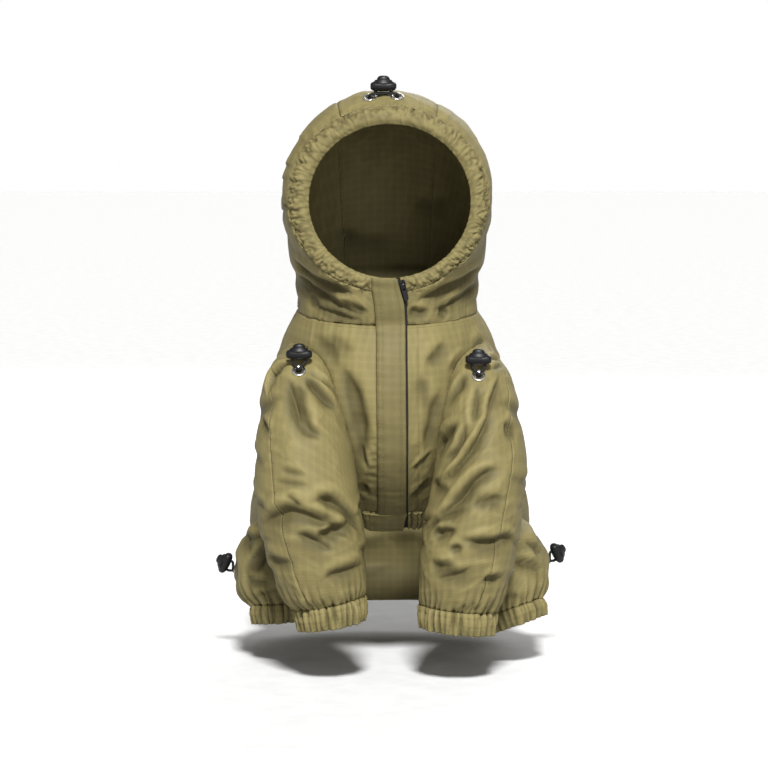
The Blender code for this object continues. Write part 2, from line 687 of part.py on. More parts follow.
def build_held_lock(name, tree):
    row = dict(zip(LOCK_COLUMNS, LOCKS[name]))
    reach_up, reach_out, swing = row["reach_up"], row["reach_out"], row["swing"]
    x, y = row["eyelet_x"], row["eyelet_y"]
    from_side = x is None
    place, out = seat_on_cloth(tree, row["side"] * FAR if from_side else x, y, row["eyelet_z"])
    seat = frame_at(place, (0, 0, 1), out)
    build_eyelet(name, seat @ Matrix.Translation(Vector((0, -EYELET_SEAT, 0)) * MM))
    if from_side:
        # A hip lock stands out from the cloth, its foot towards its eyelet
        pose = seat
        reach = Matrix.Rotation(math.atan2(reach_out, reach_up), 4, "X") @ Matrix.Translation(
            Vector((0, 0, math.hypot(reach_up, reach_out))) * MM
        )
    else:
        # A shoulder lock stands upright in front of the cloth above its eyelet
        pose = frame_at(place, (0, 0, 1), (out.x, out.y, 0))
        reach = Matrix.Translation(Vector((0, -reach_out, reach_up)) * MM)
    lock = pose @ reach @ Matrix.Rotation(math.radians(swing), 4, "Z")
    build_lock(name, lock)
    foot = -LOCK_HEIGHT / 2 + SOCKET_DEPTH - CLEARANCE
    legs = []
    for end in (-1, 1):
        top = lock @ (Vector((end * SOCKET_X, 0, foot)) * MM)
        below = lock @ (Vector((end * SOCKET_X * LEG_IN, 0, foot - LEG_STRAIGHT)) * MM)
        near_side = math.copysign(1, (pose.inverted() @ below).x)
        low = seat @ (Vector((near_side * TURN_X, -TURN_OUT, TURN_UP)) * MM)
        legs.append((top, below, low))
    bottom = seat @ (Vector((0, -LOOP_OUT, 0.0)) * MM)
    build_cord(f"cord_{name}", [*legs[0], bottom, *reversed(legs[1])])


def build_crown_lock(tree):
    x, lift = CROWN_LOCK["x"], CROWN_LOCK["lift"]
    seats = []
    for eyelet_x in CROWN_LOCK["eyelet_xs"]:
        start = Vector((eyelet_x, CROWN_LOCK["eyelet_y"], FAR)) * MM
        place, normal, _, _ = tree.ray_cast(start, Vector((0, 0, -1)))
        if normal.z < 0:
            normal = -normal
        seats.append((place, normal))
    middle = (seats[0][0] + seats[1][0]) / 2
    middle.x = x * MM
    lock = Matrix.Translation(middle + Vector((0, -CROWN_LOCK["ahead"], lift)) * MM)
    build_lock("crown", lock)
    foot = -LOCK_HEIGHT / 2 + SOCKET_DEPTH - CLEARANCE
    for end, side_name, (place, normal) in zip((-1, 1), ("right", "left"), seats):
        pose = frame_at(place, (0, 1, 0), normal)
        build_eyelet(f"crown_{side_name}", pose @ Matrix.Translation(Vector((0, -EYELET_SEAT, 0)) * MM))
        top = lock @ (Vector((end * SOCKET_X, 0, foot)) * MM)
        spread = SOCKET_X + CROWN_LEG_SPREAD
        below = lock @ (Vector((end * spread, 0, foot - CROWN_LEG_STRAIGHT)) * MM)
        turn = pose @ (Vector((-end * TURN_X, -TURN_OUT, 0)) * MM)
        low = pose @ (Vector((0, -CLEARANCE, 0)) * MM)
        build_cord(f"cord_crown_{side_name}", [top, below, turn, low])


def box(name, size, middle, finish, group=None):
    mesh = bpy.data.meshes.new(name)
    shape = bmesh.new()
    bmesh.ops.create_cube(shape, size=1.0)
    bmesh.ops.scale(shape, vec=Vector(size) * MM, verts=shape.verts)
    bmesh.ops.translate(shape, vec=Vector(middle) * MM, verts=shape.verts)
    shape.to_mesh(mesh)
    shape.free()
    made = add_object(name, mesh, finish, group or PARTS)
    if group is not None:
        made.hide_render = True
        made.display_type = "WIRE"
    return made


def build_slider(casing):
    """The slider with its bridge, and the pull whose cross bar turns under the bridge."""
    levels = np.linspace(0, casing.top_level, 31)
    heights = casing.middle_surface(0.0, levels)[:, 2]
    lower, upper = (np.interp(SLIDER_HEIGHT + h, heights, levels) for h in (1.0, 7.0))
    ends = [
        Vector(casing.points(casing.turn_at_x(x, np.array(level)), np.array(level), 0.0))
        for x, level in ((SLIDER_X_LOW, lower), (SLIDER_X_TOP, upper))
    ]
    up = (ends[1] - ends[0]).normalized()
    out = Vector((1, 0, 0)).cross(up).normalized()
    if out.y > 0:
        out = -out
    base = ends[0] + out * (WALL / 2 + SLIDER_SEAT) * MM
    pose = frame_at(base, up, out)
    plate = box("zip_slider", (SLIDER_WIDTH, SLIDER_PLATE, SLIDER_LENGTH),
                (0, -SLIDER_PLATE / 2, SLIDER_LENGTH / 2), "zip_black")
    face = -SLIDER_PLATE
    bridge = box(
        "slider bridge", (BRIDGE_WIDTH, BRIDGE_RISE + BRIDGE_ROOT, BRIDGE_TOP - BRIDGE_LOW),
        (0, face - (BRIDGE_RISE - BRIDGE_ROOT) / 2, (BRIDGE_TOP + BRIDGE_LOW) / 2), None, CUTTERS,
    )
    hollow_rise = BRIDGE_RISE - BRIDGE_BAR
    hollow = box("slider bridge hollow",
                 (CUTTER_RUN, hollow_rise, BRIDGE_TOP - BRIDGE_LOW - 2 * BRIDGE_BAR),
                 (0, face - hollow_rise / 2, (BRIDGE_TOP + BRIDGE_LOW) / 2), None, CUTTERS)
    union = plate.modifiers.new("bridge", "BOOLEAN")
    union.operation = "UNION"
    union.object = bridge
    cut(plate, hollow)
    for thing in (plate, bridge, hollow):
        thing.matrix_world = pose
    axis = pose @ Matrix.Translation(Vector((0, face - PULL_AXIS_OUT, PULL_AXIS_Z)) * MM)
    size = (PULL_WIDTH, PULL_THICKNESS, PULL_LENGTH)
    pull = box("zip_pull", size, (0, 0, -PULL_LENGTH / 2), "zip_black")
    window = box("pull window", (PULL_WINDOW, CUTTER_RUN, PULL_WINDOW_LENGTH - PULL_BAR / 2),
                 (0, 0, -(PULL_WINDOW_LENGTH + PULL_BAR / 2) / 2), None, CUTTERS)
    mesh = bpy.data.meshes.new("pull bar")
    shape = bmesh.new()
    bmesh.ops.create_cone(shape, cap_ends=True, segments=12, radius1=PULL_BAR / 2 * MM,
                          radius2=PULL_BAR / 2 * MM, depth=(PULL_WIDTH - JOIN_EASE) * MM)
    shape.to_mesh(mesh)
    shape.free()
    mesh.transform(Matrix.Rotation(math.pi / 2, 4, "Y"))
    bar = add_object("pull bar", mesh, None, CUTTERS)
    bar.hide_render = True
    bar.display_type = "WIRE"
    join = pull.modifiers.new("bar", "BOOLEAN")
    join.operation = "UNION"
    join.object = bar
    cut(pull, window)
    for thing in (pull, window, bar):
        thing.matrix_world = axis


def main():
    torso = Tube(TORSO_COLUMNS, TORSO_ROWS)
    hood = Tube(HOOD_COLUMNS, HOOD_ROWS, upward=True)
    casing = Tube(CASING_COLUMNS, CASING_ROWS, upward=True)
    sides = {"right": -1, "left": 1}
    tables = {
        "right": (SLEEVE_RIGHT_ROWS, SLEEVE_CUFF_RIGHT_ROWS, HIND_RIGHT_ROWS, HIND_CUFF_RIGHT_ROWS),
        "left": (SLEEVE_LEFT_ROWS, SLEEVE_CUFF_LEFT_ROWS, HIND_LEFT_ROWS, HIND_CUFF_LEFT_ROWS),
    }
    limbs = {
        side: [Tube(LIMB_COLUMNS, rows, sides[side]) for rows in tables[side]] for side in sides
    }
    torso_core = core("torso core", torso, (0.0, SEAT_LEVEL), (60, 40), WALL / 2 + ARMHOLE_GAP)
    lumen = -(WALL / 2 + SEAM_GAP)
    sleeve_cores, hind_cores = {}, {}
    for side, (sleeve, _, leg, _) in limbs.items():
        levels = (0.02, sleeve.top_level)
        sleeve_cores[side] = core(f"sleeve core {side}", sleeve, levels, (40, 24), lumen)
        levels = (0.02, leg.top_level)
        hind_cores[side] = core(f"hind core {side}", leg, levels, (40, 20), lumen)
    build_hood(hood, casing)
    build_body(torso, sleeve_cores, hind_cores)
    for side, (sleeve, sleeve_cuff, leg, hind_cuff) in limbs.items():
        pieces = (
            (f"sleeve_{side}_front", (INNER_SEAM_TURN - 1, sleeve_seam), 11),
            (f"sleeve_{side}_outer", (sleeve_seam, INNER_SEAM_TURN), 8),
        )
        build_limb(pieces, sleeve, torso_core, f"sleeve_cuff_{side}", sleeve_cuff, 10)
        pieces = ((f"hind_leg_{side}", (0.0, 1.0), 20),)
        build_limb(pieces, leg, torso_core, f"hind_cuff_{side}", hind_cuff, 9)
    build_closing(torso, hood, casing)
    tree = cloth_tree()
    for name in LOCKS:
        build_held_lock(name, tree)
    build_crown_lock(tree)
    build_slider(casing)


for old in list(bpy.data.objects):
    bpy.data.objects.remove(old)
PARTS = collection("jumpsuit")
CUTTERS = collection("cutters")
main()
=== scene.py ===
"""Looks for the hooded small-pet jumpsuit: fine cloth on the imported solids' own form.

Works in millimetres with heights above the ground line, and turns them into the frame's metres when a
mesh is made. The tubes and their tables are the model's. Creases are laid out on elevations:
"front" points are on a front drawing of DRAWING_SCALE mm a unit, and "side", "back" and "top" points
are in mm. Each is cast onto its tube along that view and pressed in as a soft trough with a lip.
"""

import json
import math

import bmesh
import bpy
import numpy as np
from mathutils import Matrix, Vector, noise
from mathutils.bvhtree import BVHTree


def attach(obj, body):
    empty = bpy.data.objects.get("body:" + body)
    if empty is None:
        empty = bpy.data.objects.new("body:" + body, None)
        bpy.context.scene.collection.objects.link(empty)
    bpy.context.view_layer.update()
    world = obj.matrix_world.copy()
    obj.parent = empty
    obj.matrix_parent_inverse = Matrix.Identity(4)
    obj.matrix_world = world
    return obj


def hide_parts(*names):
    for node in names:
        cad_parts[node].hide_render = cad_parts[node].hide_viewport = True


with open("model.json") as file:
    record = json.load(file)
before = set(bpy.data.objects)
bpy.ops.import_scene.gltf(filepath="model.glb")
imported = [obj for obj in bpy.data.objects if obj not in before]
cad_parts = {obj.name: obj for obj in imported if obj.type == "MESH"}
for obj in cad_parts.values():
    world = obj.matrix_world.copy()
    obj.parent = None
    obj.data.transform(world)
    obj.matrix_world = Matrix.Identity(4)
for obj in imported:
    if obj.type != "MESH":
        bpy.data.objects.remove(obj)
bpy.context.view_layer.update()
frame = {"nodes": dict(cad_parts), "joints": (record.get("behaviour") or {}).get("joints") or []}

MM = 0.001
BODY = "jumpsuit"
NECK_HEIGHT = 258.0
DRAWING_SCALE, DRAWING_MIDDLE, DRAWING_GROUND = 0.70, 390.0, 683.0
VIEW_ELEVATION = 4.5
VIEW_PLANE_Y = -60.0

# Camera and light

camera = bpy.data.objects.new("camera", bpy.data.cameras.new("camera"))
bpy.context.scene.collection.objects.link(camera)
camera_distance, view_width = 2000.0, 768 * DRAWING_SCALE
look_at = np.array([-4.2, VIEW_PLANE_Y, 209.3 - NECK_HEIGHT])
tilt = math.radians(VIEW_ELEVATION)
camera.location = (look_at + camera_distance * np.array([0, -math.cos(tilt), math.sin(tilt)])) * MM
camera.rotation_euler = (math.pi / 2 - tilt, 0, 0)
camera.data.sensor_width = 36.0
camera.data.lens = 36.0 * camera_distance / view_width
camera.data.clip_start, camera.data.clip_end = 0.05, 60.0
bpy.context.scene.camera = camera
bpy.context.scene.view_settings.view_transform = "Standard"

LIGHTS = (
    # name, power, size (m), place (m), target (m)
    ("fill", 8.0, 0.8, (0.5, -1.9, 0.25), (0, 0, -0.1)),
    ("back", 30.0, 1.4, (0.5, 1.9, 1.2), (0, 0, -0.05)),
)


def aimed(thing, place, target):
    thing.location = place
    way = Vector(target) - Vector(place)
    thing.rotation_euler = way.to_track_quat("-Z", "Y").to_euler()


for light_name, power, size, place, target in LIGHTS:
    lamp = bpy.data.lights.new(light_name, "AREA")
    lamp.energy = power
    lamp.size = size
    holder = bpy.data.objects.new(light_name, lamp)
    bpy.context.scene.collection.objects.link(holder)
    aimed(holder, place, target)
key = bpy.data.lights.new("key", "SUN")
key.energy = 7.8
key.angle = math.radians(10)
key_holder = bpy.data.objects.new("key", key)
bpy.context.scene.collection.objects.link(key_holder)
aimed(key_holder, (0.06, -1.25, 1.25), (0, 0, 0))

# The room is white at the horizon and dimmer above, so that folds keep their shade
world = bpy.data.worlds.new("studio")
bpy.context.scene.world = world
world.use_nodes = True
room = world.node_tree
place_in_room = room.nodes.new("ShaderNodeTexCoord")
height_in_room = room.nodes.new("ShaderNodeSeparateXYZ")
room.links.new(place_in_room.outputs["Generated"], height_in_room.inputs[0])
falling = room.nodes.new("ShaderNodeMapRange")
falling.interpolation_type = "SMOOTHSTEP"
for socket_name, value in (("From Min", 0.10), ("From Max", 0.24), ("To Min", 1.0), ("To Max", 0.26)):
    falling.inputs[socket_name].default_value = value
room.links.new(height_in_room.outputs[2], falling.inputs["Value"])
room.links.new(falling.outputs[0], room.nodes["Background"].inputs["Strength"])
room.nodes["Background"].inputs["Color"].default_value = (1.0, 1.0, 1.0, 1.0)

# Tables

SEAM_X_LEVELS = (0.0, 2.0, 4.0, 5.5, 7.0, 8.5, 10.0)
SIDE_SEAM_TURNS = (0.25, 0.24, 0.19, 0.15, 0.125, 0.11, 0.15)
BAND_LEVEL, HEM_LEVEL, SEAT_LEVEL = 6.0, 7.0, 10.0
CROWN_TURNS = (0.42, 0.58)
INNER_SEAM_TURN = 0.58
SLEEVE_SEAM_TURNS = (0.135, 0.06)
ZIP_OFFSET, ZIP_HALF = 0.6, 1.3

TORSO_COLUMNS = (
    "front_y", "front_z", "back_y", "back_z", "half_width", "narrowing", "middle_x",
)
TORSO_ROWS = (
    (-58, 250, 58, 266, 64.5, 0.02, -1.9),
    (-66, 232, 78, 250, 73.8, 0.08, -1.3),
    (-71, 212, 98, 229, 81.5, 0.15, -0.9),
    (-72, 186, 118, 202, 90, 0.22, -0.6),
    (-66, 160, 137, 172, 96.5, 0.30, -0.3),
    (-51, 136, 153, 142, 99.5, 0.38, 0),
    (-31, 115, 164, 116, 103.5, 0.40, 0),
    (-17, 102, 169, 99, 105.5, 0.40, 0),
    (22, 78, 176, 72, 106, 0.36, 0),
    (44, 54, 179, 46, 102, 0.30, 0),
    (58, 33, 165, 22, 88, 0.22, 0),
)
HOOD_COLUMNS = ("front_y", "front_z", "back_y", "back_z", "half_width", "middle_x")
HOOD_ROWS = (
    (-58, 250, 58, 266, 64.5, -1.9),
    (-60, 256, 68, 290, 65.5, -2.1),
    (-61, 261, 73, 320, 67.8, -2.2),
    (-61.5, 265, 69, 352, 71.2, -2.2),
    (-61.5, 268, 53, 384, 73.8, -2.2),
    (-61.3, 270, 26, 406, 74.2, -2.1),
    (-61, 271.5, -8, 415, 73.8, -1.9),
    (-60.7, 272.5, -34, 411, 72.4, -1.5),
    (-60.5, 273.5, -50, 403, 69.5, -1.1),
)
CASING_ROWS = (
    (-60.5, 273.5, -50, 403, 69.5, -1.1),
    (-62.2, 276, -56.5, 400, 66, -0.8),
    (-62.8, 280.5, -59.5, 395, 61, -0.5),
    (-61.3, 283.5, -58, 390.5, 56.4, -0.2),
)
LIMB_COLUMNS = (
    "middle_x", "front_y", "front_z", "back_y", "back_z", "half_width", "roll",
)
LIMB_ROWS = {
    "sleeve_right": (
        (54, -26, 238, 14, 214, 22.5, 0),
        (60, -58, 222, 8, 194, 29, 0),
        (61, -80, 194, -4, 170, 32, 0),
        (60, -93, 163, -17, 149, 34.8, 0),
        (58, -100, 134, -26, 128, 36, 0),
        (54.5, -102, 108, -30, 106, 36, 0),
        (50.5, -100, 84, -32, 83, 33.5, 4),
        (46.5, -95, 65, -36, 64, 29.5, 8),
        (42.8, -88, 56, -41, 56, 24.0, 11),
    ),
    "sleeve_left": (
        (54, -26, 236, 14, 212, 22.5, 0),
        (60.5, -58, 220, 8, 192, 27, 0),
        (63, -80, 192, -4, 168, 29.5, 0),
        (64, -93, 161, -17, 147, 32, 0),
        (60.5, -100, 132, -26, 126, 33, 0),
        (57, -102, 107, -30, 105, 34, 0),
        (53.5, -100, 82, -32, 81, 33, 0),
        (50.5, -95, 63, -36, 62, 29.5, 3),
        (47.6, -88, 52, -41, 52, 25.4, 5.5),
    ),
    "sleeve_cuff_right": (
        (42.8, -88, 56, -41, 56, 24.0, 11),
        (41.6, -89, 48, -42, 48, 23.6, 10),
        (40.8, -87, 40, -42, 40, 22.4, 9),
    ),
    "sleeve_cuff_left": (
        (47.6, -88, 52, -41, 52, 25.4, 5.5),
        (47.4, -89, 44, -42, 44, 25.6, 5.5),
        (47.2, -87, 36, -42, 36, 24.8, 5.5),
    ),
    "hind_right": (
        (62, 104, 96, 108, 46, 22, 0),
        (71, 76, 104, 90, 38, 28.5, 0),
        (78, 48, 106, 73, 35, 33, 0),
        (80.5, 20, 101, 60, 34, 33.8, 0),
        (80.5, -2, 83, 50, 36, 32.6, 0),
        (79.5, -12, 61, 43, 39.5, 31, 3),
        (77, -10, 46, 34, 40, 23.5, 4),
    ),
    "hind_left": (
        (62, 104, 96, 108, 46, 22, 0),
        (71, 76, 104, 90, 38, 28.5, 0),
        (79, 48, 106, 73, 35, 33.5, 0),
        (83, 20, 101, 60, 34, 34.5, 0),
        (84, -3, 82, 50, 35, 33, -4),
        (86.5, -13, 61, 42, 37, 29.5, -12),
        (88, -12, 43, 34, 37, 23.5, -19),
    ),
    "hind_cuff_right": (
        (77, -10, 46, 34, 40, 23.5, 4),
        (76.6, -11, 39, 33.5, 34, 23.4, 4),
        (76.4, -10, 32, 32, 28, 22.4, 4),
    ),
    "hind_cuff_left": (
        (88, -12, 43, 34, 37, 23.5, -19),
        (90, -13, 37, 33.5, 31, 23.6, -19),
        (91.5, -12, 30.5, 32, 25, 22.6, -19),
    ),
}
FLAP_COLUMNS = ("height", "sewn_x", "free_x")
FLAP_ROWS = (
    (283, -13.3, 4.9),
    (275, -12.6, 7.2),
    (264, -11.0, 9.8),
    (250, -9.8, 10.4),
    (170, -9.0, 11.0),
    (115, -8.6, 11.2),
)
TAB_ROWS = (
    (115, -15.4, 11.6),
    (102, -15.4, 9.0),
)

# Creases: view, kind, depth, width, lip (mm), then the line's points on that view
CREASE_COLUMNS = ("view", "kind", "depth", "width", "lip", "line")
CREASES = {
    "sleeve_right": (
        ("front", "soft", 2.6, 4.2, 1.1, ((296, 380), (300, 399), (304, 415), (310, 429), (326, 439))),
        ("front", "sharp", 2.8, 2.8, 1.4, ((303, 376), (314, 386), (326, 398), (340, 412))),
        ("front", "fold", 3.4, 2.4, 1.9, ((293, 366), (283, 366), (274, 372), (269, 382), (267, 398))),
        ("front", "sharp", 1.8, 2.4, 0.9, ((290, 377), (291, 392), (298, 412), (302, 430))),
        ("front", "sharp", 1.6, 2.2, 0.9, ((306, 366), (315, 377), (330, 388), (344, 402))),
        ("front", "soft", 1.2, 3.0, 0.8, ((329, 355), (340, 367))),
        ("front", "soft", 1.3, 2.6, 0.7, ((260, 420), (271, 436))),
        ("front", "sharp", 0.9, 2.4, 0.5, ((280, 468), (291, 472), (308, 475))),
        ("front", "sharp", 0.8, 2.2, 0.4, ((276, 480), (290, 483), (312, 485))),
        ("front", "sharp", 1.5, 2.4, 0.7, ((286, 494), (293, 498), (304, 507))),
        (
            "front", "sharp", 3.2, 4.0, 1.5,
            ((262, 524), (275, 517), (288, 511), (303, 513), (320, 519), (338, 526), (352, 537)),
        ),
        (
            "front", "sharp", 3.0, 3.6, 1.4,
            ((308, 505), (320, 499), (332, 500), (344, 508), (356, 522), (363, 536)),
        ),
        ("front", "soft", 1.7, 2.8, 0.9, ((318, 528), (327, 532), (345, 526))),
        ("front", "sharp", 2.1, 3.2, 1.0, ((296, 531), (309, 537), (322, 543), (336, 552))),
        ("front", "sharp", 1.6, 3.0, 0.8, ((318, 533), (333, 533), (345, 527), (354, 519))),
        ("front", "sharp", 1.9, 3.4, 0.9, ((322, 580), (333, 574), (347, 570), (364, 565))),
        ("front", "soft", 1.2, 3.4, 0.6, ((268, 556), (282, 562), (297, 561))),
        ("side", "soft", 2.2, 4.5, 1.0, ((-78, 204), (-50, 190), (-22, 186))),
        ("side", "sharp", 2.4, 3.2, 1.2, ((-92, 122), (-66, 128), (-38, 118))),
        ("side", "sharp", 2.0, 2.8, 1.0, ((-88, 104), (-62, 98), (-36, 104))),
        ("side", "soft", 1.6, 3.2, 0.8, ((-84, 152), (-56, 160), (-30, 150))),
        ("side", "soft", 1.8, 3.4, 0.8, ((-82, 84), (-60, 76), (-42, 80))),
        ("back", "sharp", 2.4, 3.0, 1.2, ((-78, 124), (-60, 118), (-40, 124))),
        ("back", "sharp", 2.2, 2.8, 1.1, ((-80, 106), (-58, 112), (-38, 102))),
        ("back", "soft", 1.8, 3.0, 0.9, ((-74, 90), (-56, 84), (-38, 90))),
        ("inner", "sharp", 2.0, 3.0, 1.0, ((-86, 116), (-62, 124), (-40, 114))),
        ("inner", "soft", 1.7, 3.2, 0.8, ((-84, 96), (-62, 92), (-42, 98))),
    ),
    "sleeve_left": (
        ("front", "sharp", 3.0, 3.2, 1.4, ((435, 466), (439, 446), (449, 432), (460, 422))),
        ("front", "sharp", 1.8, 2.2, 1.0, ((443, 460), (455, 451), (462, 436), (464, 422))),
        ("front", "fold", 3.2, 2.4, 1.8, ((492, 403), (477, 433), (461, 457), (446, 475), (435, 482))),
        ("front", "sharp", 1.6, 2.4, 0.9, ((478, 384), (474, 411), (472, 428))),
        ("front", "sharp", 1.9, 2.0, 1.1, ((500, 377), (494, 395), (483, 420))),
        ("front", "soft", 1.4, 3.0, 0.8, ((469, 372), (455, 393), (442, 408))),
        ("front", "sharp", 1.4, 2.0, 0.8, ((490, 361), (499, 359), (508, 361))),
        ("front", "sharp", 1.3, 1.8, 0.7, ((490, 372), (504, 365))),
        ("front", "sharp", 3.0, 3.2, 1.6, ((437, 516), (456, 500), (473, 481), (489, 471), (504, 468))),
        ("front", "soft", 1.2, 3.4, 0.6, ((433, 484), (441, 489), (452, 492))),
        ("front", "sharp", 1.8, 3.0, 0.9, ((425, 531), (436, 521), (450, 513), (468, 508))),
        ("front", "sharp", 1.6, 2.8, 0.8, ((434, 578), (448, 576), (461, 571), (472, 562))),
        ("front", "soft", 1.8, 2.8, 0.9, ((431, 533), (456, 529))),
        ("front", "sharp", 2.8, 3.0, 1.4, ((459, 538), (477, 541), (493, 541), (505, 537), (515, 542))),
        ("front", "soft", 1.5, 2.6, 0.8, ((447, 549), (462, 545))),
        ("front", "soft", 1.5, 4.0, 0.7, ((502, 425), (517, 431))),
        ("front", "soft", 1.8, 2.8, 0.9, ((480, 578), (501, 577))),
        ("front", "soft", 1.3, 4.2, 0.6, ((470, 506), (486, 500), (506, 498))),
        ("front", "soft", 1.4, 3.4, 0.7, ((430, 562), (444, 566), (458, 562))),
        ("side", "soft", 2.2, 4.5, 1.0, ((-76, 200), (-48, 188), (-20, 184))),
        ("side", "sharp", 2.6, 3.2, 1.3, ((-92, 148), (-64, 140), (-34, 146))),
        ("side", "sharp", 2.2, 2.8, 1.1, ((-90, 102), (-64, 96), (-38, 104))),
        ("side", "soft", 1.7, 3.2, 0.8, ((-86, 122), (-58, 128), (-32, 120))),
        ("side", "soft", 1.6, 3.2, 0.8, ((-82, 78), (-62, 72), (-44, 78))),
        ("back", "sharp", 2.4, 3.0, 1.2, ((42, 120), (60, 126), (80, 118))),
        ("back", "sharp", 2.0, 2.8, 1.0, ((40, 104), (60, 98), (78, 106))),
        ("back", "soft", 1.8, 3.0, 0.9, ((40, 86), (58, 80), (74, 86))),
        ("inner", "sharp", 2.0, 3.0, 1.0, ((-88, 120), (-64, 112), (-42, 120))),
        ("inner", "soft", 1.6, 3.2, 0.8, ((-84, 96), (-62, 100), (-42, 92))),
    ),
    "torso": (
        ("front", "soft", 2.0, 5.2, 0.7, ((338, 366), (350, 384), (359, 410), (362, 440), (363, 466))),
        ("front", "soft", 0.8, 4.4, 0.4, ((326, 334), (338, 345), (354, 353))),
        ("front", "soft", 1.6, 3.0, 0.8, ((486, 338), (472, 350))),
        ("front", "sharp", 1.8, 2.4, 0.9, ((470, 355), (458, 363), (448, 373))),
        ("front", "soft", 1.4, 3.4, 0.7, ((446, 342), (436, 356), (424, 366))),
        ("front", "soft", 1.3, 4.6, 0.5, ((442, 388), (432, 420), (425, 458))),
        ("front", "soft", 0.8, 3.6, 0.4, ((420, 376), (427, 396), (430, 418))),
        ("front", "sharp", 1.2, 2.0, 0.7, ((412, 470), (424, 462), (434, 450))),
        ("front", "soft", 1.3, 2.6, 0.7, ((410, 500), (420, 492), (428, 480))),
        ("front", "sharp", 1.2, 2.0, 0.7, ((368, 470), (362, 458), (360, 444))),
        ("front", "soft", 1.2, 2.6, 0.6, ((367, 496), (362, 484))),
        ("front", "soft", 0.8, 4.0, 0.4, ((312, 336), (330, 352), (340, 376))),
        ("side", "soft", 3.0, 7.0, 1.2, ((20, 236), (34, 196), (40, 150), (30, 112))),
        ("side", "soft", 2.6, 6.0, 1.1, ((48, 236), (74, 196), (88, 150), (84, 100))),
        ("side", "sharp", 2.4, 3.4, 1.2, ((22, 168), (50, 176), (82, 190), (104, 196))),
        ("side", "sharp", 2.2, 3.2, 1.1, ((30, 128), (58, 136), (92, 150), (120, 154))),
        ("side", "sharp", 2.0, 3.0, 1.0, ((70, 112), (98, 118), (128, 120))),
        ("side", "soft", 2.2, 5.0, 0.9, ((100, 82), (128, 86), (156, 80))),
        ("side", "soft", 1.8, 4.0, 0.8, ((112, 56), (136, 52), (160, 58))),
        ("side", "sharp", 1.8, 2.8, 0.9, ((4, 206), (26, 214), (48, 226))),
        ("back", "soft", 2.8, 6.5, 1.1, ((-46, 232), (-34, 196), (-40, 156), (-56, 118))),
        ("back", "soft", 2.6, 6.0, 1.1, ((38, 236), (30, 202), (42, 160), (62, 124))),
        ("back", "soft", 2.2, 5.5, 0.9, ((-6, 226), (4, 186), (-2, 142), (8, 104))),
        ("back", "sharp", 2.4, 3.4, 1.2, ((-88, 148), (-52, 134), (-14, 138), (22, 130))),
        ("back", "sharp", 2.2, 3.2, 1.1, ((90, 158), (60, 146), (28, 150))),
        ("back", "sharp", 2.2, 3.2, 1.1, ((-96, 104), (-60, 98), (-18, 104), (20, 96), (58, 102), (92, 94))),
        ("back", "soft", 2.0, 4.0, 0.9, ((-70, 74), (-30, 68), (14, 74), (56, 66))),
        ("back", "sharp", 1.8, 3.0, 0.9, ((-44, 182), (-20, 174), (10, 178))),
        ("back", "soft", 1.8, 3.6, 0.8, ((48, 196), (70, 186), (84, 190))),
        ("back", "soft", 1.6, 3.4, 0.7, ((-60, 48), (-26, 42), (6, 48))),
    ),
    "hood": (
        ("front", "soft", 1.1, 3.2, 0.5, ((308, 129), (309, 141), (310, 153))),
        ("front", "soft", 1.2, 3.0, 0.6, ((293, 160), (297, 171), (300, 182))),
        ("front", "soft", 1.1, 2.8, 0.5, ((290, 177), (295, 185), (299, 192))),
        ("front", "soft", 1.2, 3.0, 0.6, ((283, 200), (292, 209), (300, 216))),
        ("front", "sharp", 0.9, 2.0, 0.5, ((316, 126), (319, 135))),
        ("front", "sharp", 2.4, 4.0, 1.2, ((292, 258), (304, 272), (320, 284), (340, 291), (360, 297))),
        (
            "front", "sharp", 3.0, 3.2, 1.5,
            ((294, 272), (305, 284), (318, 295), (332, 304), (350, 313), (364, 317)),
        ),
        ("front", "soft", 1.3, 2.4, 0.7, ((306, 297), (319, 305))),
        ("front", "soft", 1.5, 2.8, 0.8, ((340, 300), (357, 310), (369, 314))),
        ("front", "sharp", 1.8, 2.6, 0.9, ((306, 304), (324, 312), (344, 319), (366, 322))),
        ("front", "sharp", 2.6, 3.4, 1.3, ((414, 303), (430, 297), (450, 288), (468, 278), (486, 262))),
        ("front", "sharp", 2.0, 2.8, 1.0, ((432, 312), (450, 306), (468, 294), (482, 282))),
        ("front", "soft", 1.3, 2.6, 0.7, ((441, 308), (450, 317))),
        ("front", "soft", 1.2, 3.0, 0.6, ((410, 308), (418, 314), (430, 312))),
        ("front", "soft", 1.0, 3.4, 0.4, ((441, 120), (446, 126), (449, 134))),
        ("front", "soft", 1.0, 3.4, 0.4, ((463, 142), (468, 149), (471, 158))),
        ("front", "soft", 1.0, 3.0, 0.5, ((484, 196), (478, 208), (477, 222))),
        ("side", "soft", 2.0, 5.0, 0.9, ((-36, 268), (-10, 282), (24, 288), (50, 286))),
        ("side", "sharp", 2.0, 3.2, 1.0, ((-20, 262), (10, 270), (44, 278))),
        ("side", "soft", 1.8, 5.0, 0.8, ((-38, 300), (-8, 316), (30, 322))),
        ("side", "soft", 1.6, 5.0, 0.7, ((-40, 340), (-12, 354), (22, 352))),
        ("side", "soft", 1.4, 4.4, 0.6, ((-34, 376), (-8, 384), (18, 378))),
        ("back", "soft", 2.0, 4.6, 0.9, ((-48, 286), (-16, 280), (18, 284), (50, 278))),
        ("back", "sharp", 1.8, 3.2, 0.9, ((-42, 274), (-12, 270), (22, 272))),
        ("back", "soft", 1.8, 5.0, 0.7, ((-44, 316), (-20, 306), (8, 308))),
        ("back", "soft", 1.6, 4.6, 0.7, ((12, 340), (34, 332), (52, 338))),
        ("top", "soft", 1.3, 5.0, 0.5, ((-40, 10), (-30, -8), (-34, -28))),
        ("top", "soft", 1.3, 5.0, 0.5, ((36, 18), (30, -4), (34, -26))),
    ),
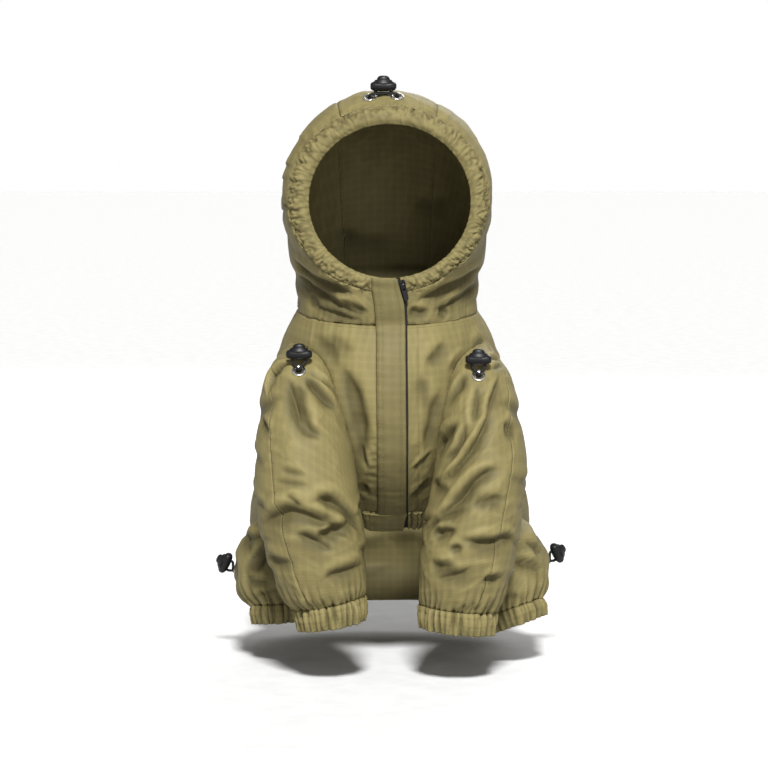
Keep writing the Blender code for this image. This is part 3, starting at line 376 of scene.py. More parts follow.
    "hind_right": (
        ("front", "sharp", 2.2, 2.8, 1.1, ((231, 546), (248, 543), (265, 537))),
        ("front", "soft", 3.0, 6.5, 0.8, ((250, 556), (258, 562), (266, 564))),
        ("front", "sharp", 1.8, 2.6, 0.9, ((250, 606), (266, 600), (281, 592))),
        ("front", "soft", 1.6, 2.8, 0.8, ((240, 584), (252, 590), (268, 588))),
        ("side", "sharp", 2.4, 3.2, 1.2, ((-2, 76), (20, 88), (44, 90), (64, 82))),
        ("side", "soft", 2.2, 4.0, 1.0, ((6, 60), (30, 70), (56, 66))),
        ("side", "soft", 2.0, 3.4, 0.9, ((30, 50), (52, 52), (74, 58))),
        ("side", "sharp", 1.8, 2.8, 0.9, ((50, 96), (66, 84), (76, 66))),
    ),
    "hind_left": (
        ("front", "sharp", 1.6, 2.2, 0.8, ((526, 526), (534, 525))),
        ("front", "sharp", 2.4, 2.8, 1.2, ((514, 570), (529, 568), (550, 575))),
        ("front", "soft", 1.8, 2.8, 0.9, ((506, 603), (525, 607))),
        ("front", "sharp", 2.2, 2.4, 1.2, ((499, 622), (520, 619), (541, 611))),
        ("front", "soft", 1.6, 3.0, 0.8, ((530, 548), (541, 552), (550, 560))),
        ("side", "sharp", 2.4, 3.2, 1.2, ((-2, 74), (20, 86), (44, 92), (64, 84))),
        ("side", "soft", 2.2, 4.0, 1.0, ((6, 58), (30, 66), (56, 64))),
        ("side", "soft", 2.0, 3.4, 0.9, ((30, 48), (52, 50), (74, 56))),
        ("side", "sharp", 1.8, 2.8, 0.9, ((48, 98), (64, 86), (74, 66))),
    ),
}


# Tubes, as the model makes them

def blend_rows(values, level):
    """Smooth (Catmull-Rom) value between table rows; both ends run on straight."""
    ends = np.concatenate([[2 * values[0] - values[1]], values, [2 * values[-1] - values[-2]]])
    start = np.clip(np.floor(level).astype(int), 0, len(values) - 2)
    t = level - start
    before, here, there, after = (ends[start + k] for k in range(4))
    return 0.5 * (
        2 * here
        + (there - before) * t
        + (2 * before - 5 * here + 4 * there - after) * t**2
        + (3 * here - before - 3 * there + after) * t**3
    )


def column(columns, rows, name):
    if name not in columns:
        return np.zeros(len(rows))
    return np.array([row[columns.index(name)] for row in rows], float)


class Tube:
    def __init__(self, columns, rows, side=1, upward=False):
        self.side = side
        self.outward = side if upward else -side
        self.top_level = len(rows) - 1
        for name in set(LIMB_COLUMNS) | set(TORSO_COLUMNS):
            setattr(self, name, column(columns, rows, name))

    def at(self, turn, level):
        turn, level = np.broadcast_arrays(np.asarray(turn, float), np.asarray(level, float))
        front_y, front_z, back_y, back_z, half, narrowing, roll, middle_x = (
            blend_rows(getattr(self, name), level)
            for name in (
                "front_y", "front_z", "back_y", "back_z",
                "half_width", "narrowing", "roll", "middle_x",
            )
        )
        along, across = np.cos(math.tau * turn), np.sin(math.tau * turn)
        k = np.maximum(narrowing, 1e-6)
        widest = (1 - np.sqrt(1 + 8 * k**2)) / (4 * k)
        reach = np.sqrt(1 - widest**2) * (1 - k * widest)
        across = half * across * (1 - k * along) / reach
        lean = np.radians(roll)
        x = self.side * (middle_x + across * np.cos(lean))
        y = (front_y + back_y) / 2 + (front_y - back_y) / 2 * along
        z = (front_z + back_z) / 2 + (front_z - back_z) / 2 * along - across * np.sin(lean)
        return np.stack([x, y, z], axis=-1)

    def normals(self, turn, level):
        step = 1e-3
        around = self.at(turn + step, level) - self.at(turn - step, level)
        down = self.at(turn, level + step) - self.at(turn, level - step)
        normal = np.cross(around, down) * self.outward
        return normal / np.maximum(np.linalg.norm(normal, axis=-1, keepdims=True), 1e-9)

    def turn_at_x(self, x, level):
        low, high = np.full(np.shape(level), -0.2), np.full(np.shape(level), 0.2)
        for _ in range(40):
            half = (low + high) / 2
            beyond = self.at(half, level)[..., 0] > x
            high = np.where(beyond, half, high)
            low = np.where(beyond, low, half)
        return (low + high) / 2


TUBES = {
    "torso": Tube(TORSO_COLUMNS, TORSO_ROWS),
    "hood": Tube(HOOD_COLUMNS, HOOD_ROWS, upward=True),
    "casing": Tube(HOOD_COLUMNS, CASING_ROWS, upward=True),
}
for tube_name, tube_rows in LIMB_ROWS.items():
    TUBES[tube_name] = Tube(LIMB_COLUMNS, tube_rows, -1 if tube_name.endswith("right") else 1)


def side_seam(level):
    share = np.interp(level, SEAM_X_LEVELS, np.arange(len(SEAM_X_LEVELS)))
    return blend_rows(np.array(SIDE_SEAM_TURNS), share)


def sleeve_seam(level):
    return np.interp(level, (1.0, 8.0), SLEEVE_SEAM_TURNS)


def edge_x(rows, height, name):
    heights = column(FLAP_COLUMNS, rows, "height")[::-1]
    return np.interp(height, heights, column(FLAP_COLUMNS, rows, name)[::-1])


def zip_edge(tube, away):
    def turn(level):
        height = tube.at(0.0, level)[..., 2]
        return tube.turn_at_x(edge_x(FLAP_ROWS, height, "free_x") + ZIP_OFFSET + away, level)

    return turn


# Small helpers

def frame_point(points):
    """Millimetres above the ground line to the frame's metres."""
    return (np.asarray(points) - np.array([0.0, 0.0, NECK_HEIGHT])) * MM


def ease(value, low, high):
    t = np.clip((value - low) / (high - low), 0, 1)
    return t * t * (3 - 2 * t)


def noise_at(points, size, seed=0):
    """Perlin noise of this grain size (mm) at each point, about -1 to 1."""
    flat = (np.asarray(points).reshape(-1, 3) / size + seed * 17.31).tolist()
    return np.array([noise.noise(point) for point in flat]).reshape(points.shape[:-1]) * 1.6


def noise_line(values, seed):
    flat = np.asarray(values, float)
    made = [noise.noise((value, seed * 3.7 + 0.5, 0.25)) for value in flat.ravel().tolist()]
    return np.array(made).reshape(flat.shape) * 1.6


def creased(points, size, seed):
    """Folded-cloth noise: broad facets with thin ridges, about 0 to 1."""
    bent = points + 0.35 * size * np.stack(
        [noise_at(points, size * 1.7, seed + k) for k in (11, 12, 13)], axis=-1
    )
    return 1 - np.abs(noise_at(bent, size, seed))


def billow(u, v, seed):
    """Round hills with sharp valleys, about 0 to 1, over a plane of two coordinates in hill widths."""
    u, v = np.broadcast_arrays(np.asarray(u, float), np.asarray(v, float))
    spots = np.stack([u, v, np.full(u.shape, seed * 3.1)], axis=-1)
    bent = spots + 0.45 * noise_at(spots + 5.5, 2.2, seed)[..., None] * np.array([1.0, 0.4, 0.0])
    return np.clip(1.5 * np.abs(noise_at(bent, 1.0, seed + 1)), 0, 1) ** 0.75


def gathers(s, seed):
    """Uneven pleats one unit apart: round ridges with tight valleys, about -1 to 1."""
    bent = s + 0.32 * noise_line(s * 0.61, seed) + 0.16 * noise_line(s * 1.7, seed + 1)
    height = np.abs(np.cos(math.pi * bent)) ** 0.75
    return (height * 2 - 1.15) * (0.78 + 0.4 * noise_line(s * 0.47, seed + 2))


def mesh_of(name, points, faces, loop_uv=None):
    mesh = bpy.data.meshes.new(name)
    faces = np.asarray(faces, np.int32)
    corners = faces.shape[1]
    mesh.vertices.add(len(points))
    mesh.vertices.foreach_set("co", np.asarray(points, np.float32).ravel())
    mesh.loops.add(faces.size)
    mesh.loops.foreach_set("vertex_index", faces.ravel())
    mesh.polygons.add(len(faces))
    mesh.polygons.foreach_set("loop_start", np.arange(0, faces.size, corners, dtype=np.int32))
    mesh.polygons.foreach_set("loop_total", np.full(len(faces), corners, np.int32))
    if loop_uv is not None:
        layer = mesh.uv_layers.new(name="cut")
        layer.data.foreach_set("uv", np.asarray(loop_uv, np.float32).ravel())
    mesh.update(calc_edges=True)
    mesh.polygons.foreach_set("use_smooth", np.ones(len(faces), bool))
    return mesh


def add_piece(name, mesh, finish, body=BODY):
    thing = bpy.data.objects.new(name, mesh)
    bpy.context.scene.collection.objects.link(thing)
    mesh.materials.append(MATERIALS[finish])
    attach(thing, body)
    return thing


# Materials

def node(tree, kind, **values):
    made = tree.nodes.new(kind)
    for key, value in values.items():
        setattr(made, key, value)
    return made


def math_node(tree, operation, first, second=None, third=None, clamp=False):
    made = tree.nodes.new("ShaderNodeMath")
    made.operation = operation
    made.use_clamp = clamp
    for index, value in enumerate((first, second, third)):
        if value is None:
            continue
        if isinstance(value, (int, float)):
            made.inputs[index].default_value = value
        else:
            tree.links.new(value, made.inputs[index])
    return made.outputs[0]


def mixed(tree, factor, first, second, blend="MIX"):
    made = tree.nodes.new("ShaderNodeMix")
    made.data_type = "RGBA"
    made.blend_type = blend
    made.clamp_factor = True
    for socket, value in ((made.inputs[0], factor), (made.inputs[6], first), (made.inputs[7], second)):
        if isinstance(value, (int, float)):
            socket.default_value = value
        elif isinstance(value, tuple):
            socket.default_value = (*value, 1.0) if len(value) == 3 else value
        else:
            tree.links.new(value, socket)
    return made.outputs[2]


def noise_texture(tree, coordinates, scale, detail=2.0, roughness=0.5):
    made = tree.nodes.new("ShaderNodeTexNoise")
    made.inputs["Scale"].default_value = scale
    made.inputs["Detail"].default_value = detail
    made.inputs["Roughness"].default_value = roughness
    tree.links.new(coordinates, made.inputs["Vector"])
    return made.outputs["Fac"]


def new_material(name, colour, roughness, metallic=0.0):
    made = bpy.data.materials.new(name)
    made.use_nodes = True
    shader = made.node_tree.nodes["Principled BSDF"]
    shader.inputs["Base Color"].default_value = (*colour, 1.0)
    shader.inputs["Roughness"].default_value = roughness
    shader.inputs["Metallic"].default_value = metallic
    made.diffuse_color = (*colour, 1.0)
    return made


GRID = 0.0059  # ripstop squares, in metres
CLOTH_COLOUR = (0.129, 0.108, 0.044)


def ripstop(name, colour, roughness):
    """Coated ripstop: a plain weave with a raised check of doubled yarns."""
    made = new_material(name, colour, roughness)
    shader = made.node_tree.nodes["Principled BSDF"]
    shader.inputs["Specular IOR Level"].default_value = 0.12
    tree = made.node_tree
    cut = node(tree, "ShaderNodeUVMap", uv_map="cut")
    split = tree.nodes.new("ShaderNodeSeparateXYZ")
    tree.links.new(cut.outputs[0], split.inputs[0])
    where = tree.nodes.new("ShaderNodeTexCoord").outputs["Object"]
    lines, faint, weave = [], [], []
    for axis in (0, 1):
        wander = math_node(tree, "MULTIPLY", noise_texture(tree, where, 60.0), 0.0009)
        place = math_node(tree, "ADD", split.outputs[axis], wander)
        cell = math_node(tree, "MULTIPLY", place, 1 / GRID)
        share = math_node(tree, "FRACT", cell)
        off = math_node(tree, "ABSOLUTE", math_node(tree, "SUBTRACT", share, 0.5))
        pair = math_node(tree, "ABSOLUTE", math_node(tree, "SUBTRACT", off, 0.085))
        lines.append(math_node(tree, "SUBTRACT", 1.0, math_node(tree, "MULTIPLY", pair, 19.0), clamp=True))
        half = math_node(tree, "SUBTRACT", 0.5, off)
        faint.append(math_node(tree, "SUBTRACT", 1.0, math_node(tree, "MULTIPLY", half, 15.0), clamp=True))
        weave.append(math_node(tree, "SINE", math_node(tree, "MULTIPLY", place, 9500.0)))
    check = math_node(tree, "MAXIMUM", lines[0], lines[1])
    dark_check = math_node(tree, "MAXIMUM", faint[0], faint[1])
    yarn = math_node(tree, "MULTIPLY", weave[0], weave[1])
    cloud = noise_texture(tree, where, 14.0, 3.0, 0.6)
    grain = noise_texture(tree, where, 420.0, 2.0, 0.6)
    # The 'shade' colour, multiplied in below, is painted shade in the cloth's creases, pleat valleys and eyelet holes,
    # and painted light on its ridges.
    shade = node(tree, "ShaderNodeAttribute", attribute_name="shade")
    lighter = tuple(min(1, c * 1.45) for c in colour)
    light = mixed(tree, math_node(tree, "MULTIPLY", check, 0.55), colour, lighter)
    light = mixed(tree, math_node(tree, "MULTIPLY", dark_check, 0.24), light, tuple(c * 0.7 for c in colour))
    cloudy = mixed(tree, math_node(tree, "MULTIPLY", cloud, 0.42), light, tuple(c * 0.80 for c in colour))
    grainy = mixed(tree, math_node(tree, "MULTIPLY", grain, 0.22), cloudy, tuple(c * 0.72 for c in colour))
    toned = mixed(tree, 1.0, grainy, shade.outputs["Color"], "MULTIPLY")
    tree.links.new(toned, shader.inputs["Base Color"])
    height = math_node(
        tree, "ADD",
        math_node(tree, "ADD", math_node(tree, "MULTIPLY", check, 0.55), math_node(tree, "MULTIPLY", yarn, 0.10)),
        math_node(tree, "MULTIPLY", grain, 0.55),
    )
    bump = node(tree, "ShaderNodeBump")
    bump.inputs["Strength"].default_value = 0.30
    bump.inputs["Distance"].default_value = 0.00025
    tree.links.new(height, bump.inputs["Height"])
    tree.links.new(bump.outputs[0], shader.inputs["Normal"])
    rough = math_node(tree, "MULTIPLY_ADD", cloud, 0.16, roughness - 0.08)
    tree.links.new(rough, shader.inputs["Roughness"])
    return made


def speckled(name, colour, roughness, grain_scale, strength, distance, metallic=0.0, spread=0.12):
    """Moulded, plated or braided surface: fine grain in height, tone and gloss."""
    made = new_material(name, colour, roughness, metallic)
    tree = made.node_tree
    shader = tree.nodes["Principled BSDF"]
    where = tree.nodes.new("ShaderNodeTexCoord").outputs["Object"]
    grain = noise_texture(tree, where, grain_scale, 3.0, 0.6)
    broad = noise_texture(tree, where, grain_scale / 9, 2.0, 0.5)
    lighter = tuple(min(1, c * 1.5 + 0.004) for c in colour)
    tone = mixed(tree, math_node(tree, "MULTIPLY", grain, 0.6), colour, lighter)
    tree.links.new(tone, shader.inputs["Base Color"])
    rough = math_node(tree, "MULTIPLY_ADD", broad, spread, roughness - spread / 2)
    tree.links.new(rough, shader.inputs["Roughness"])
    bump = node(tree, "ShaderNodeBump")
    bump.inputs["Strength"].default_value = strength
    bump.inputs["Distance"].default_value = distance
    tree.links.new(grain, bump.inputs["Height"])
    tree.links.new(bump.outputs[0], shader.inputs["Normal"])
    if not metallic:
        shader.inputs["Specular IOR Level"].default_value = 0.18
    return made


MATERIALS = {
    "cloth": ripstop("ripstop_cloth", CLOTH_COLOUR, 0.62),
    # The gathered pieces take the same ripstop painted 4 % darker: painted shade of their close pleats.
    "gathered": ripstop("gathered_cloth", tuple(c * 0.96 for c in CLOTH_COLOUR), 0.66),
    "thread": speckled("sewing_thread", (0.098, 0.082, 0.036), 0.6, 2600.0, 0.4, 0.00005),
    "plastic": speckled("moulded_plastic", (0.004, 0.004, 0.0045), 0.42, 900.0, 0.12, 0.00004),
    "cord": speckled("braided_cord", (0.005, 0.005, 0.005), 0.75, 1500.0, 0.8, 0.00018),
    "nickel": speckled("nickel_plate", (0.72, 0.71, 0.69), 0.17, 700.0, 0.05, 0.00003, 1.0, 0.08),
    "zip": speckled("zip_nylon", (0.006, 0.006, 0.006), 0.42, 1800.0, 0.3, 0.00005),
    "zip_metal": speckled("zip_enamel", (0.012, 0.012, 0.013), 0.2, 800.0, 0.1, 0.00003, 0.6, 0.1),
}


# Creases

CREASE_DEPTH, CREASE_WIDTH = 2.1, 0.9
SIDE_SHARE = 0.42


class Creases:
    """A tube's creases, cast onto it, and what they add at any points on it."""

    VIEWS = {
        "back": lambda a, b: ((a, 600.0, b), (0.0, -1.0, 0.0)),
        "top": lambda a, b: ((a, b, 700.0), (0.0, 0.0, -1.0)),
    }

    def __init__(self, tube, rows, levels):
        self.lines = []
        level = np.linspace(levels[0], levels[1], 12 * int(levels[1] - levels[0]) + 1)
        turn = np.linspace(0, 1, 145)[:-1]
        grid = tube.at(turn[None, :], level[:, None])
        count = len(turn)
        faces = [
            (r * count + c, r * count + (c + 1) % count, (r + 1) * count + (c + 1) % count, (r + 1) * count + c)
            for r in range(len(level) - 1) for c in range(count)
        ]
        tree = BVHTree.FromPolygons(grid.reshape(-1, 3).tolist(), faces)
        centre = grid.reshape(-1, 3).mean(axis=0)
        for index, row in enumerate(rows):
            row = dict(zip(CREASE_COLUMNS, row))
            for side in self.sides(tube, row["view"]):
                line = self.cast(tree, centre, row, side)
                if len(line) >= 2:
                    self.lines.append((row, line, index + 1))

    @staticmethod
    def sides(tube, view):
        both = tube.middle_x.max() < 10
        if view not in ("side", "inner"):
            return (0,)
        if both:
            return (-1, 1)
        return (tube.side,) if view == "side" else (-tube.side,)

    def cast(self, tree, centre, row, side):
        raw = np.array(row["line"], float)
        along = np.linspace(0, len(raw) - 1, 10 * (len(raw) - 1) + 1)
        smooth = np.stack([blend_rows(raw[:, k], along) for k in (0, 1)], axis=-1)
        found = []
        for a, b in smooth:
            if row["view"] == "front":
                start = np.array([
                    (a - DRAWING_MIDDLE) * DRAWING_SCALE,
                    VIEW_PLANE_Y,
                    (DRAWING_GROUND - b) * DRAWING_SCALE / math.cos(tilt),
                ])
                way = np.array([0.0, math.cos(tilt), -math.sin(tilt)])
                start = start - 500 * way
            elif row["view"] == "side":
                start, way = np.array([side * 500.0, a, b]), np.array([-side, 0.0, 0.0])
            elif row["view"] == "inner":
                start, way = np.array([0.0, a, b]), np.array([math.copysign(1, centre[0]), 0.0, 0.0])
            else:
                start, way = self.VIEWS[row["view"]](a, b)
            hit, normal, _, _ = tree.ray_cast(Vector(start), Vector(way))
            if hit is not None:
                if normal.dot(Vector(way)) > 0:
                    normal = -normal
                found.append((*hit, *normal))
        return np.array(found)

    def height(self, points):
        flat = points.reshape(-1, 3)
        total = np.zeros(len(flat))
        for row, line, seed in self.lines:
            strength = CREASE_DEPTH * (1.0 if row["view"] == "front" else SIDE_SHARE)
            depth, width = row["depth"] * strength, row["width"] * CREASE_WIDTH
            lip, kind = 0.75 * row["lip"] * strength, row["kind"]
            reach = 5.0 * width
            spots, normals = line[:, :3], line[:, 3:]
            low, high = spots.min(axis=0) - reach, spots.max(axis=0) + reach
            near = np.nonzero(np.all((flat > low) & (flat < high), axis=1))[0]
            if not len(near):
                continue
            here = flat[near]
            starts, steps = spots[:-1], np.diff(spots, axis=0)
            lengths = np.maximum(np.einsum("ij,ij->i", steps, steps), 1e-9)
            offset = here[:, None, :] - starts[None]
            share = np.einsum("nij,ij->ni", offset, steps) / lengths
            inside = np.clip(share, 0, 1)
            gap = offset - inside[..., None] * steps[None]
            distance = np.einsum("nij,nij->ni", gap, gap)
            best = distance.argmin(axis=1)
            pick = np.arange(len(near))
            span = np.sqrt(lengths)
            total_length = span.sum()
            along = (np.concatenate([[0], np.cumsum(span)])[best] + inside[pick, best] * span[best]) / total_length
            apart = np.sqrt(distance[pick, best])
            side = np.cross(steps[best], normals[best])
            side *= -np.sign(np.cross(steps, normals[:-1]).mean(axis=0)[2] or 1.0)
            signed = np.sign(np.einsum("ij,ij->i", gap[pick, best], side)) * apart
            fade = (ease(along, 0.0, 0.32) * ease(1 - along, 0.0, 0.38)) ** 0.8
            uneven = 1 + 0.3 * noise_line(along * total_length / 12.0, seed)
            wide = width * (0.6 + 0.6 * fade)
            under = signed > 0
            if kind == "soft":
                shape = -depth * np.exp(-((apart / (wide * np.where(under, 1.7, 0.85))) ** 2))
                shape += 0.8 * lip * np.exp(-(((signed + 1.9 * wide) / (1.1 * wide)) ** 2))
            elif kind == "sharp":
                q = np.sqrt(apart**2 + (0.12 * wide) ** 2) - 0.12 * wide
                crisp = np.where(under, 0.35, 0.65)
                shape = -depth * crisp * np.exp(-q / (0.55 * wide))
                shape -= depth * (1 - crisp) * np.exp(-q / (wide * np.where(under, 1.9, 2.3)))
                shape += 1.2 * lip * np.exp(-(((signed + 2.0 * wide) / (1.2 * wide)) ** 2))
            else:
                below = np.clip(signed, 0, None)
                shape = np.where(
                    signed > 0,
                    -depth * np.exp(-below / (1.6 * wide)) * ease(signed, -0.1, 0.6 * wide),
                    0.0,
                )
                shape += lip * np.exp(-(((signed + 0.9 * wide) / (0.9 * wide)) ** 2))
            total[near] += shape * fade * uneven * ease(reach - apart, 0, width)
        return total.reshape(points.shape[:-1])


CREASE_FIELDS = {
    name: Creases(TUBES[name], rows, (-0.5 if "sleeve" in name else 0.0, TUBES[name].top_level))
    for name, rows in CREASES.items()
}


# Hardware poses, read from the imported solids

def node_points(name):
    return np.array([vertex.co for vertex in frame["nodes"][name].data.vertices], float)


JOINT_AXES = {joint["child"]: np.array(joint["axis"], float) for joint in frame["joints"]}
LOCKS = ("crown", "shoulder_right", "shoulder_left", "hip_right", "hip_left")
LOCK_LENGTH, LOCK_HEIGHT, LOCK_DEPTH = 18.4, 7.4, 8.6
PLUNGER_LENGTH, PLUNGER_DEPTH, PLUNGER_SHOWS, PLUNGER_SUNK = 9.8, 5.2, 4.0, 0.9
SOCKET_X, SOCKET_DEPTH, CORD_RADIUS = 4.7, 1.2, 1.0
EYELET_OUTER, EYELET_INNER, EYELET_HEIGHT = 4.9, 3.0, 1.1
LEG_STRAIGHT, LEG_IN = 2.2, 0.93
TURN_X, TURN_OUT, TURN_UP, LOOP_OUT = 1.0, 3.0, 0.5, 1.6
CROWN_LEG_STRAIGHT, CROWN_LEG_SPREAD = 1.8, 0.3
CLEARANCE = 0.3
EYELETS = (
    "crown_left", "crown_right", "shoulder_left", "shoulder_right", "hip_left", "hip_right",
)


def main_axes(points):
    spread = points - points.mean(axis=0)
    values, vectors = np.linalg.eigh(spread.T @ spread)
    return vectors[:, ::-1].T


def matrix_of(x, y, z, place):
    made = Matrix((x, y, z)).transposed().to_4x4()
    made.translation = Vector(place)
    return made


def lock_pose(name):
    z = -JOINT_AXES[f"lock_{name}_plunger"]
    x = main_axes(node_points(f"lock_{name}_body"))[0]
    x = x - x.dot(z) * z
    x = x / np.linalg.norm(x)
    y = np.cross(z, x)
    points = node_points(f"lock_{name}_plunger")
    middle = [(points @ axis).min() / 2 + (points @ axis).max() / 2 for axis in (x, y)]
    top = (points @ z).max() - (LOCK_HEIGHT / 2 + PLUNGER_SHOWS) * MM
    return matrix_of(x, y, z, middle[0] * x + middle[1] * y + top * z)


def eyelet_pose(name):
    """Z is out of the cloth, and the origin is on the ring's under face."""
    points = node_points(f"eyelet_{name}")
    z = main_axes(points)[2]
    centre = (points.min(axis=0) + points.max(axis=0)) / 2
    away = centre - np.array([0.0, 0.03, centre[2] - (0.05 if name.startswith("crown") else 0.0)])
    if z @ away < 0:
        z = -z
    up = np.array([0.0, 1.0, 0.0]) if name.startswith("crown") else np.array([0.0, 0.0, 1.0])
    y = up - up.dot(z) * z
    y = y / np.linalg.norm(y)
    x = np.cross(y, z)
    middle = [((points @ axis).min() + (points @ axis).max()) / 2 for axis in (x, y)]
    return matrix_of(x, y, z, middle[0] * x + middle[1] * y + (points @ z).min() * z)


LOCK_POSES = {name: lock_pose(name) for name in LOCKS}
EYELET_POSES = {name: eyelet_pose(name) for name in EYELETS}


def pressed_under_eyelets(points, normals):
    """How far to move cloth along its normals so that it lies flat under each ring."""
    flat, ways = points.reshape(-1, 3), normals.reshape(-1, 3)
    moved = np.zeros(len(flat))
    weight = np.zeros(len(flat))
    for pose in EYELET_POSES.values():
        centre = np.array(pose.translation) / MM + np.array([0, 0, NECK_HEIGHT])
        z = np.array(pose.col[2][:3])
        offset = flat - centre
        across = np.linalg.norm(offset - np.outer(offset @ z, z), axis=1)
        facing = ways @ z
        here = (np.linalg.norm(offset, axis=1) < 26) & (facing > 0.3)
        share = np.where(here, 1 - ease(across, 5.6, 15.0), 0.0)
        gap = (-(offset @ z) - 0.12) / np.maximum(facing, 0.3)
        moved += share * gap
        weight = np.maximum(weight, share)
    return moved.reshape(points.shape[:-1]), weight.reshape(points.shape[:-1])


# Cloth

SHELL = 0.8
BASE_LIFT = 0.30


class Panel:
    """A cloth panel sampled finely: its surface points, outward normals and distances to its edges."""

    def __init__(self, tube, turns, levels, step, start=None):
        self.tube = tube
        middle = np.linspace(levels[0], levels[1], 240)
        ends = [edge(middle) if callable(edge) else np.full(middle.shape, float(edge)) for edge in turns]
        line = tube.at((ends[0] + ends[1]) / 2, middle)
        run = np.concatenate([[0], np.cumsum(np.linalg.norm(np.diff(line, axis=0), axis=1))])
        rows = max(3, int(math.ceil(run[-1] / step)) + 1)
        level = np.interp(np.linspace(0, run[-1], rows), run, middle)
        across = max(
            np.linalg.norm(np.diff(tube.at(np.linspace(a, b, 60), v), axis=0), axis=1).sum()
            for a, b, v in zip(ends[0][::24], ends[1][::24], middle[::24])
        )
        columns = max(3, int(math.ceil(across / step)) + 1)
        share = np.linspace(0, 1, columns)
        levels_here = np.repeat(level[:, None], columns, axis=1)
        for _ in range(4 if start is not None else 1):
            first, last = (
                np.asarray(edge(levels_here) if callable(edge) else np.full(levels_here.shape, float(edge)))
                for edge in turns
            )
            turn = first + (last - first) * share
            if start is not None:
                begin = start(turn)
                part = (level[:, None] - levels[0]) / (levels[1] - levels[0])
                levels_here = begin + (levels[1] - begin) * part
        self.closed = bool(np.all(np.abs(last - first - 1.0) < 1e-9))
        self.turn, self.level = turn, levels_here
        self.normal = tube.normals(turn, levels_here)
        self.base = tube.at(turn, levels_here)
        self.point = self.base + BASE_LIFT * self.normal
        along = np.linalg.norm(np.diff(self.base, axis=1), axis=-1)
        down = np.linalg.norm(np.diff(self.base, axis=0), axis=-1)
        self.left = np.concatenate([np.zeros((rows, 1)), np.cumsum(along, axis=1)], axis=1)
        self.right = self.left[:, -1:] - self.left
        self.top = np.concatenate([np.zeros((1, columns)), np.cumsum(down, axis=0)], axis=0)
        self.bottom = self.top[-1:] - self.top
        half = columns // 2
        self.uv = np.stack([self.left - self.left[:, half:half + 1],
                            np.repeat(self.top[:, half:half + 1], columns, axis=1)], axis=-1) * MM
        self.shift = np.zeros(turn.shape)
        self.shade = np.ones(turn.shape)
        self.keep = np.ones(turn.shape, bool)

    def finished(self):
        return self.point + self.shift[..., None] * self.normal

    def surface_normals(self):
        spots = self.finished()
        around = np.gradient(spots, axis=1)
        down = np.gradient(spots, axis=0)
        made = np.cross(around, down)
        made /= np.maximum(np.linalg.norm(made, axis=-1, keepdims=True), 1e-9)
        sign = np.sign(np.einsum("ijk,ijk->ij", made, self.normal).mean())
        return made * sign


def crumple(panel, amount, seed, size=26.0, lie=(0.2, 0.15, 1.0)):
    """Broad undulation and thin ridges, drawn out the way the cloth is pulled and calmer on the outline."""
    lie = np.array(lie) / np.linalg.norm(lie)
    spots = panel.base - 0.6 * (panel.base @ lie)[..., None] * lie
    broad = noise_at(spots, size * 1.5, seed)
    ridges = creased(spots, size, seed + 1) ** 3
    fine = creased(spots, size * 0.38, seed + 2) ** 5
    calm = 1 - 0.6 * panel.normal[..., 0] ** 4
    drawn = panel.base - 0.82 * (panel.base @ lie)[..., None] * lie
    patches = ease(noise_at(panel.base, size * 1.6, seed + 8), -0.15, 0.5)
    wrinkles = patches * (creased(drawn, size * 0.42, seed + 5) ** 4 - 0.2)
    panel.detail = amount * calm * (1.1 * ridges + 0.34 * fine + 1.2 * wrinkles - 0.45)
    panel.shift += panel.detail + 1.2 * amount * calm * broad


def build_cloth(name, panel, replaced, finish="cloth", shell=SHELL):
    """The panel's mesh, as a thin shell, with its cut as UV and its creases' shade as a colour."""
    spots = panel.finished()
    rows, columns = spots.shape[:2]
    wide = columns - 1
    index = np.arange(rows * wide).reshape(rows, wide) if panel.closed else None
    if panel.closed:
        points = spots[:, :-1].reshape(-1, 3)
        shade = panel.shade[:, :-1].ravel()
        full = np.concatenate([index, index[:, :1]], axis=1)
        keep = panel.keep[:, :-1]
        keep = np.concatenate([keep, keep[:, :1]], axis=1)
    else:
        points = spots.reshape(-1, 3)
        shade = panel.shade.ravel()
        full = np.arange(rows * columns).reshape(rows, columns)
        keep = panel.keep
    a, b, c, d = full[:-1, :-1], full[:-1, 1:], full[1:, 1:], full[1:, :-1]
    quads = np.stack([a, b, c, d], axis=-1).reshape(-1, 4)
    uv = np.stack([panel.uv[:-1, :-1], panel.uv[:-1, 1:], panel.uv[1:, 1:], panel.uv[1:, :-1]], axis=2)
    uv = uv.reshape(-1, 4, 2)
    whole = (keep[:-1, :-1] & keep[:-1, 1:] & keep[1:, 1:] & keep[1:, :-1]).ravel()
    quads, uv = quads[whole], uv[whole]
    sample = quads[len(quads) // 2]
    facing = np.cross(points[sample[1]] - points[sample[0]], points[sample[3]] - points[sample[0]])
    row, col = divmod(int(np.nonzero(whole)[0][len(quads) // 2]), columns - 1)
    if facing @ panel.normal[row, col] < 0:
        quads, uv = quads[:, ::-1], uv[:, ::-1]
    used, quads = np.unique(quads, return_inverse=True)
    quads = quads.reshape(-1, 4)
    mesh = mesh_of(name, frame_point(points[used]), quads, uv)
    tone = mesh.color_attributes.new(name="shade", type="FLOAT_COLOR", domain="POINT")
    colours = np.ones((len(used), 4), np.float32)
    colours[:, :3] = shade[used][:, None]
    tone.data.foreach_set("color", colours.ravel())
    made = add_piece(name, mesh, finish)
    thickness = made.modifiers.new("shell", "SOLIDIFY")
    thickness.thickness = shell * MM
    thickness.offset = -1.0
    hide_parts(*replaced)
    return made


def crease_shade(height, amount=0.5):
    """Painted shade in the creases' troughs and painted light on their ridges: a colour factor from the crease height.
    """
    return np.clip(1 + amount * np.clip(height, -2.8, 1.2) / 2.2, 0.5, 1.14)


# Closed tubes, for where one tube of cloth meets another

